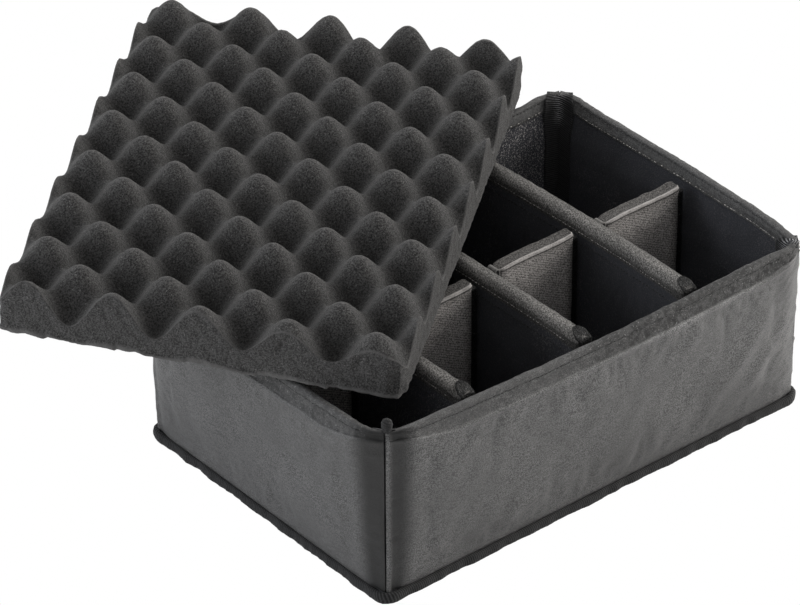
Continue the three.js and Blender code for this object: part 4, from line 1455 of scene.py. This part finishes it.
def make_lid_pad():
    """The egg-crate pad: its wavy upper face, four rough cut sides that stand on a skewed outline
    with softened corners, and a flat underside with a torn lip at the front."""
    start, across, along, up, corners = pad_pose()
    width, length = corners[1, 0], corners[3, 1]
    s, t = pairs(*(np.linspace(0, 1, int(size / PAD_STEP)) for size in (width, length)))
    near = corners[0] + (corners[1] - corners[0]) * s[..., None]
    far = corners[3] + (corners[2] - corners[3]) * s[..., None]
    flat = near + (far - near) * t[..., None]
    flat[..., 0] -= PAD_LEFT_REACH * (1 - s) * (1 - t) ** 3
    for a, b, radius in PAD_CORNERS:
        close = part_of(1 - np.abs(s - a) * width / radius)
        close = close * part_of(1 - np.abs(t - b) * length / radius)
        flat += 0.3 * radius * close[..., None] * [1 - 2 * a, 1 - 2 * b]
    grid_u, grid_v = flat[..., 0], flat[..., 1]
    top, saddle = egg_height(grid_u, grid_v)
    # how deep a point lies between the peaks, more at a saddle, for the painted shade there
    hollow = part_of(1 - (top - PAD_WEB) / PAD_WAVE + 0.45 * saddle)
    top += 0.6 * MM * waves(flat, 46 * MM, 71) + 0.13 * MM * waves(flat, 5 * MM, 72)
    rows, columns = top.shape
    upper = np.stack([grid_u, grid_v, top], -1).reshape(-1, 3)
    index = np.arange(rows * columns).reshape(rows, columns)
    loop = np.concatenate([index[:-1, 0], index[-1, :-1], index[:0:-1, -1], index[0, :0:-1]])
    ring = upper[loop]
    plan = ring[:, :2]
    out = outwards(plan)
    run = running(plan)
    front = np.arange(len(ring)) < rows - 1
    tear = (run / (47 * MM) + 0.35) % 1
    lip = front * (0.3 + 0.7 * tear) * 2.2 * MM
    uneven = 0.3 * MM * (1 + waves(np.stack([run, 0 * run], -1), 16 * MM, 73))
    foot = uneven + front * 1.4 * MM * (1 - tear)
    sides = []
    for level in PAD_LEVELS:
        height = ring[:, 2] * (1 - level) + foot * level
        spot = np.stack([run, height], -1)
        rough = 0.35 * MM * waves(spot, 10 * MM, 74) + 0.2 * MM * waves(spot, 3.4 * MM, 75)
        cut = slit(run, height) * front
        tuck = 0.45 * MM * (level > 0.99) - lip * ease(level, 0.82, 0.93) * (1 - ease(level, 0.96, 1.0))
        shift = (np.minimum(rough, 0.3 * MM) - tuck - cut)[:, None] * out
        sides.append(np.concatenate([plan + shift, height[:, None]], -1))
    middle = corners.mean(0)
    for share in PAD_RINGS:
        inner = middle + (plan - middle) * share
        sides.append(np.concatenate([inner, np.full((len(ring), 1), 0.02 * MM)], -1))
    count = len(ring)
    lower = np.concatenate(sides)
    i, j = pairs(np.arange(rows - 1), np.arange(columns - 1))
    squares = np.stack([index[i, j], index[i + 1, j], index[i + 1, j + 1], index[i, j + 1]], -1)
    here = np.vstack([loop, len(upper) + np.arange(len(lower)).reshape(-1, count)])
    ahead = np.roll(here, -1, axis=1)
    wall = np.stack([here[:-1], here[1:], ahead[1:], ahead[:-1]], -1)
    faces = squares.reshape(-1, 4).tolist() + wall.reshape(-1, 4).tolist()
    faces.append(here[-1][::-1].tolist())
    local = np.concatenate([upper, lower])
    local[:, 2] += pad_bend(local[:, 0], local[:, 1], width, length)
    points = start + local[:, :1] * across + local[:, 1:2] * along + local[:, 2:] * up
    mesh = smooth_mesh("egg_crate_pad", points, faces)
    fix_inside_out(mesh)
    edge = np.zeros(len(local))
    edge[loop] = 0.8
    foot_end = len(upper) + len(PAD_LEVELS) * count
    edge[len(upper) : foot_end] = 0.05
    edge[foot_end - 3 * count : foot_end] = np.tile(np.where(front, 0.9, 0.3), 3)
    point_values(mesh, "cut_edge", edge)
    point_values(mesh, "hollow", hollow)
    settle("egg_crate_pad", mesh, "lid_pad", ["egg_foam"], ["lid_pad"])


def slit(run, height):
    """Two short cuts in the front side: each is a narrow bell across a slanted line."""
    total = np.zeros(run.shape)
    for x0, y0, x1, y1, depth in PAD_SLITS:
        way_x, way_y = x1 - x0, y1 - y0
        along = ((run - x0) * way_x + (height - y0) * way_y) / (way_x**2 + way_y**2)
        aside = ((run - x0) * way_y - (height - y0) * way_x) / math.hypot(way_x, way_y)
        total += depth * np.sin(math.pi * part_of(along)) * hump(aside, 0, 1.3 * MM)
    return total


# Stage

def make_floor():
    """A wide pale floor that turns up far behind the object as a quarter circle."""
    across = np.linspace(-6, 6, 5)
    radius = 2.0
    angle = np.linspace(0, math.pi / 2, 13)
    run = np.concatenate([[-5.0], 4.0 + radius * np.sin(angle), [4.0 + radius]])
    height = np.concatenate([[0.0], radius * (1 - np.cos(angle)), [5.0]])
    facing = np.array([-math.sin(CAMERA_AZIMUTH), math.cos(CAMERA_AZIMUTH)])
    aside = np.array([facing[1], -facing[0]])
    flat = across[:, None, None] * aside + run[None, :, None] * facing
    points = np.concatenate([flat, np.broadcast_to(height[None, :, None], (5, len(run), 1))], -1)
    mesh = surface("studio_floor", points)
    floor = in_scene("studio_floor", mesh)
    paint = Paint("floor_paper", roughness=0.9, specular_ior_level=0.1, base_color=(0.9, 0.9, 0.9, 1))
    white = paint.node("ShaderNodeEmission", {"Color": (1, 1, 1, 1), "Strength": 1.0})
    seen = paint.node("ShaderNodeLightPath")
    plain = Wire(paint, paint.shader.outputs[0])
    mixed = paint.node("ShaderNodeMixShader", {0: seen, 1: plain, 2: white})
    paint.tree.links.new(mixed.socket, paint.tree.nodes["Material Output"].inputs[0])
    mesh.materials.append(paint.material)


def towards(azimuth, elevation):
    """The direction from the object to a place that is seen under two angles."""
    level = math.cos(elevation)
    return Vector((math.sin(azimuth) * level, -math.cos(azimuth) * level, math.sin(elevation)))


def make_lamp(name, azimuth, elevation, distance, size, power, colour):
    """A square soft lamp that faces the tray from a direction seen from the object."""
    lamp = bpy.data.lights.new(name, "AREA")
    lamp.size = size
    lamp.energy = power
    lamp.color = colour
    holder = in_scene(name, lamp)
    back = towards(math.radians(azimuth), math.radians(elevation))
    holder.location = Vector((0, 0, 0.1)) + back * distance
    holder.rotation_mode = "QUATERNION"
    holder.rotation_quaternion = (-back).to_track_quat("-Z", "Y")


def make_camera():
    """The photograph's long-lens view, from its angles and the tray's middle."""
    back = towards(CAMERA_AZIMUTH, CAMERA_ELEVATION)
    level = Vector((0, 0, 1)).cross(back).normalized()
    rise = back.cross(level)
    c, s = math.cos(CAMERA_ROLL), math.sin(CAMERA_ROLL)
    right = level * c + rise * s
    up = rise * c - level * s
    data = bpy.data.cameras.new("photo_camera")
    data.lens = CAMERA_LENS
    data.sensor_width = CAMERA_SENSOR
    data.clip_end = 50
    camera = in_scene("photo_camera", data)
    centre = Vector((0, 0, (FOOT + CREST) / 2))
    spot = centre + back * CAMERA_DISTANCE + right * CAMERA_PAN[0] + up * CAMERA_PAN[1]
    turn = Matrix((right, up, back)).transposed().to_4x4()
    camera.matrix_world = Matrix.Translation(spot) @ turn
    bpy.context.scene.camera = camera


# Properties, operators and panel

def colour_property(name, value, about):
    return FloatVectorProperty(
        name=name, description=about, default=value, size=3, min=0.0, max=1.0, subtype="COLOR"
    )


class DividerSetColours(PropertyGroup):
    """The colours of the cloths, tapes and foams."""

    nylon: colour_property("Nylon", (0.090, 0.089, 0.089), "Outer cloth of the walls")
    velour: colour_property("Velour", (0.060, 0.062, 0.072), "Loop lining of the walls and floor")
    cap: colour_property("Cap", (0.128, 0.124, 0.119), "Cloth over the top of a long divider")
    knit: colour_property("Knit", (0.285, 0.27, 0.26), "Sleeve of a cross divider")
    roof: colour_property("Roof", (0.085, 0.081, 0.078), "Cloth over the top of a cross divider")
    trim: colour_property("Trim", (0.30, 0.285, 0.275), "Folded upper edge of a cross divider")
    tape: colour_property("Tape", (0.014, 0.014, 0.0145), "Ribbed binding tape")
    hook: colour_property("Hooks", (0.009, 0.009, 0.009), "Hook strips")
    egg_foam: colour_property("Lid foam", (0.047, 0.046, 0.0455), "Egg-crate foam of the lid pad")
    padding: colour_property("Padding", (0.16, 0.16, 0.16), "Foam inside walls and dividers")
    board: colour_property("Board", (0.03, 0.03, 0.032), "Stiff board in the base")
    thread: colour_property("Thread", (0.012, 0.012, 0.012), "Sewing thread of the walls")
    pale_thread: colour_property("Cap thread", (0.12, 0.115, 0.11), "Sewing thread of the dividers' caps")


class DividerSetSizes(PropertyGroup):
    """The sizes that a user would change."""

    divider_pillow: FloatProperty(
        name="Pillow", description="How far a divider's faces swell", default=0.7 * MM,
        min=0.0, max=3 * MM, unit="LENGTH",
    )
    lamp_power: FloatProperty(
        name="Lamp power", description="Power of the main soft lamp", default=54.0, min=0.0,
        subtype="POWER", unit="POWER",
    )


class DIVIDERSET_OT_finishes(Operator):
    """Mixes every finish and paints the board in the base"""

    bl_idname = "divider_set.finishes"
    bl_label = "Finishes"

    def execute(self, context):
        colours = context.scene.divider_set_colours
        nylon_finish(colours.nylon)
        velour_finish(colours.velour)
        velour_finish(colours.velour, "glinting_velour", 1.0)
        knit_finish(colours.knit)
        knit_finish(colours.cap, "cap", ordered=0.03)
        knit_finish(colours.roof, "roof", ordered=0.03)
        trim_finish(colours.trim)
        trim_finish(colours.cap, "tab")
        tape_finish(colours.tape)
        tape_finish(colours.tape, "knob_tape", 0.2)
        hook_finish(colours.hook)
        egg_foam_finish(colours.egg_foam)
        padding_finish(colours.padding)
        board_finish(colours.board)
        thread_finish(colours.thread, "thread")
        thread_finish(colours.pale_thread, "pale_thread")
        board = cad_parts["base_board"]
        board.data.materials.clear()
        board.data.materials.append(FINISHES["board"])
        return {"FINISHED"}


class DIVIDERSET_OT_base(Operator):
    """Makes the base's cloth, lining and bound edge"""

    bl_idname = "divider_set.base"
    bl_label = "Base"

    def execute(self, context):
        slab("base_cover_cloth", "base_cover", "nylon", 0.0, 21)
        slab("base_lining_cloth", "base_lining", "velour", 0.3 * MM, 22)
        make_binding()
        return {"FINISHED"}


class DIVIDERSET_OT_walls(Operator):
    """Makes the four padded walls with their stitches"""

    bl_idname = "divider_set.walls"
    bl_label = "Walls"

    def execute(self, context):
        for name, wall in WALLS.items():
            make_wall(name, wall)
        return {"FINISHED"}


class DIVIDERSET_OT_corner_tapes(Operator):
    """Makes the ribbed tapes in the corners"""

    bl_idname = "divider_set.corner_tapes"
    bl_label = "Corner tapes"

    def execute(self, context):
        for name, drop in zip(CORNERS, (2.5, 5.2, -2.6, 2.5)):
            make_corner_tape(name, drop)
        return {"FINISHED"}


def long_painted_light(share, aside, below, edge):
    """Painted light on a long divider's cap: painted shade on one side and over its shoulders, and uneven.
    """
    uneven = waves(np.stack([share * 6, aside], -1), 3.0, 130)
    shoulder = 1 - 0.45 * ease(below, 3 * MM, 5 * MM)
    return (1.1 - 0.45 * ease(-aside, 0.1, 0.75)) * shoulder * (1 - 0.12 * uneven)


def cross_painted_light(share, aside, below, edge):
    """Painted shadow on a cross divider: darker towards its far end, below its top, in the shade of the
    long divider beside it.
    """
    return 1 - 0.6 * ease(share, 0.72, 1.0) * ease(below, 2 * MM, 8 * MM)


def long_lift(share):
    """How far a long divider's top stands above its box: a little, but not at its ends."""
    return 0.6 * MM - 2.0 * MM * np.abs(share) ** 12


def cross_lift(share):
    """The same for a cross divider: up at its far end and down at its near one."""
    return 2.2 * MM * part_of(share) ** 4 - 1.5 * MM * part_of(-share) ** 6


def bow(middle, near=0.0, shift=0.0):
    """A sideways bend along a divider: a parabola that is highest half way, another one over its
    first half, and a shift of the whole."""
    return lambda share: middle * (1 - share * share) + near * share * share * (share < 0) + shift


LONG_BENDS = {
    "right": bow(-2.2 * MM, 0.5 * MM, 0.5 * MM),
    "middle": bow(-0.8 * MM),
    "left": bow(0.8 * MM),
}


class DIVIDERSET_OT_long_dividers(Operator):
    """Makes the dividers that run from front to back"""

    bl_idname = "divider_set.long_dividers"
    bl_label = "Long dividers"

    def execute(self, context):
        for number, name in enumerate(LONG_DIVIDERS):
            shape = {
                "round": 4.6 * MM, "pillow": context.scene.divider_set_sizes.divider_pillow,
                "flare": 0.12, "full": 0.8 * MM if name == "right" else 0.4 * MM,
                "lift": long_lift, "bend": LONG_BENDS[name], "seed": 100 + 10 * number,
                "finishes": ["cap", "velour"], "cap": CAP_DEPTH, "slot": "nylon", "folded": False,
                "studded": lambda count: np.arange(count) < 12, "painted_light": long_painted_light,
            }
            make_divider(name, "long", True, shape)
        return {"FINISHED"}


class DIVIDERSET_OT_cross_dividers(Operator):
    """Makes the dividers that stand in the lanes"""

    bl_idname = "divider_set.cross_dividers"
    bl_label = "Cross dividers"

    def execute(self, context):
        for number, name in enumerate(CROSS_DIVIDERS):
            shape = {
                "round": 2.2 * MM, "pillow": context.scene.divider_set_sizes.divider_pillow,
                "flare": -0.04, "full": 0.0, "lift": cross_lift, "bend": bow(0.9 * MM),
                "seed": 200 + 10 * number, "finishes": ["roof", "knit", "trim"], "cap": 2.4 * MM,
                "slot": "knit", "folded": True, "painted_light": cross_painted_light,
                "studded": lambda count: np.cos(np.arange(count) / count * TURN) > -0.8,
            }
            make_divider(name, "cross", False, shape)
        return {"FINISHED"}


class DIVIDERSET_OT_lid_pad(Operator):
    """Makes the egg-crate foam pad of the lid"""

    bl_idname = "divider_set.lid_pad"
    bl_label = "Lid pad"

    def execute(self, context):
        make_lid_pad()
        return {"FINISHED"}


class DIVIDERSET_OT_stage(Operator):
    """Makes the floor, the lamps, the world and the camera"""

    bl_idname = "divider_set.stage"
    bl_label = "Stage"

    def execute(self, context):
        scene = context.scene
        scene.view_settings.view_transform = "Standard"
        make_floor()
        power = scene.divider_set_sizes.lamp_power
        make_lamp("right_lamp", 67, 21, 2.4, 1.5, power, (1.0, 0.975, 0.94))
        make_lamp("left_lamp", -121, 22, 2.4, 1.4, power * 0.54, (0.93, 0.96, 1.0))
        make_lamp("back_lamp", 141, 58, 2.4, 1.4, power * 0.42, (1.0, 0.98, 0.96))
        world = bpy.data.worlds.new("studio")
        world.use_nodes = True
        sky = world.node_tree.nodes["Background"]
        sky.inputs["Color"].default_value = (1, 1, 1, 1)
        sky.inputs["Strength"].default_value = 0.46
        scene.world = world
        make_camera()
        return {"FINISHED"}


STEPS = ("finishes", "base", "walls", "corner_tapes", "long_dividers", "cross_dividers", "lid_pad", "stage")


class DIVIDERSET_PT_panel(Panel):
    """Lists the sizes, the colours and the pieces that can be made"""

    bl_idname = "DIVIDERSET_PT_panel"
    bl_label = "Divider Set"
    bl_space_type = "VIEW_3D"
    bl_region_type = "UI"
    bl_category = "Divider Set"

    def draw(self, context):
        layout = self.layout
        for group in (context.scene.divider_set_sizes, context.scene.divider_set_colours):
            for key in group.__annotations__:
                layout.prop(group, key)
        for step in STEPS:
            layout.operator(f"divider_set.{step}")


CLASSES = (
    DividerSetColours,
    DividerSetSizes,
    DIVIDERSET_OT_finishes,
    DIVIDERSET_OT_base,
    DIVIDERSET_OT_walls,
    DIVIDERSET_OT_corner_tapes,
    DIVIDERSET_OT_long_dividers,
    DIVIDERSET_OT_cross_dividers,
    DIVIDERSET_OT_lid_pad,
    DIVIDERSET_OT_stage,
    DIVIDERSET_PT_panel,
)


def register():
    for cls in CLASSES:
        bpy.utils.register_class(cls)
    bpy.types.Scene.divider_set_colours = PointerProperty(type=DividerSetColours)
    bpy.types.Scene.divider_set_sizes = PointerProperty(type=DividerSetSizes)


def unregister():
    del bpy.types.Scene.divider_set_sizes
    del bpy.types.Scene.divider_set_colours
    for cls in reversed(CLASSES):
        bpy.utils.unregister_class(cls)


def main():
    """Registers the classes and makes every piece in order."""
    register()
    for step in STEPS:
        getattr(bpy.ops.divider_set, step)()


if __name__ == "__main__":
    main()
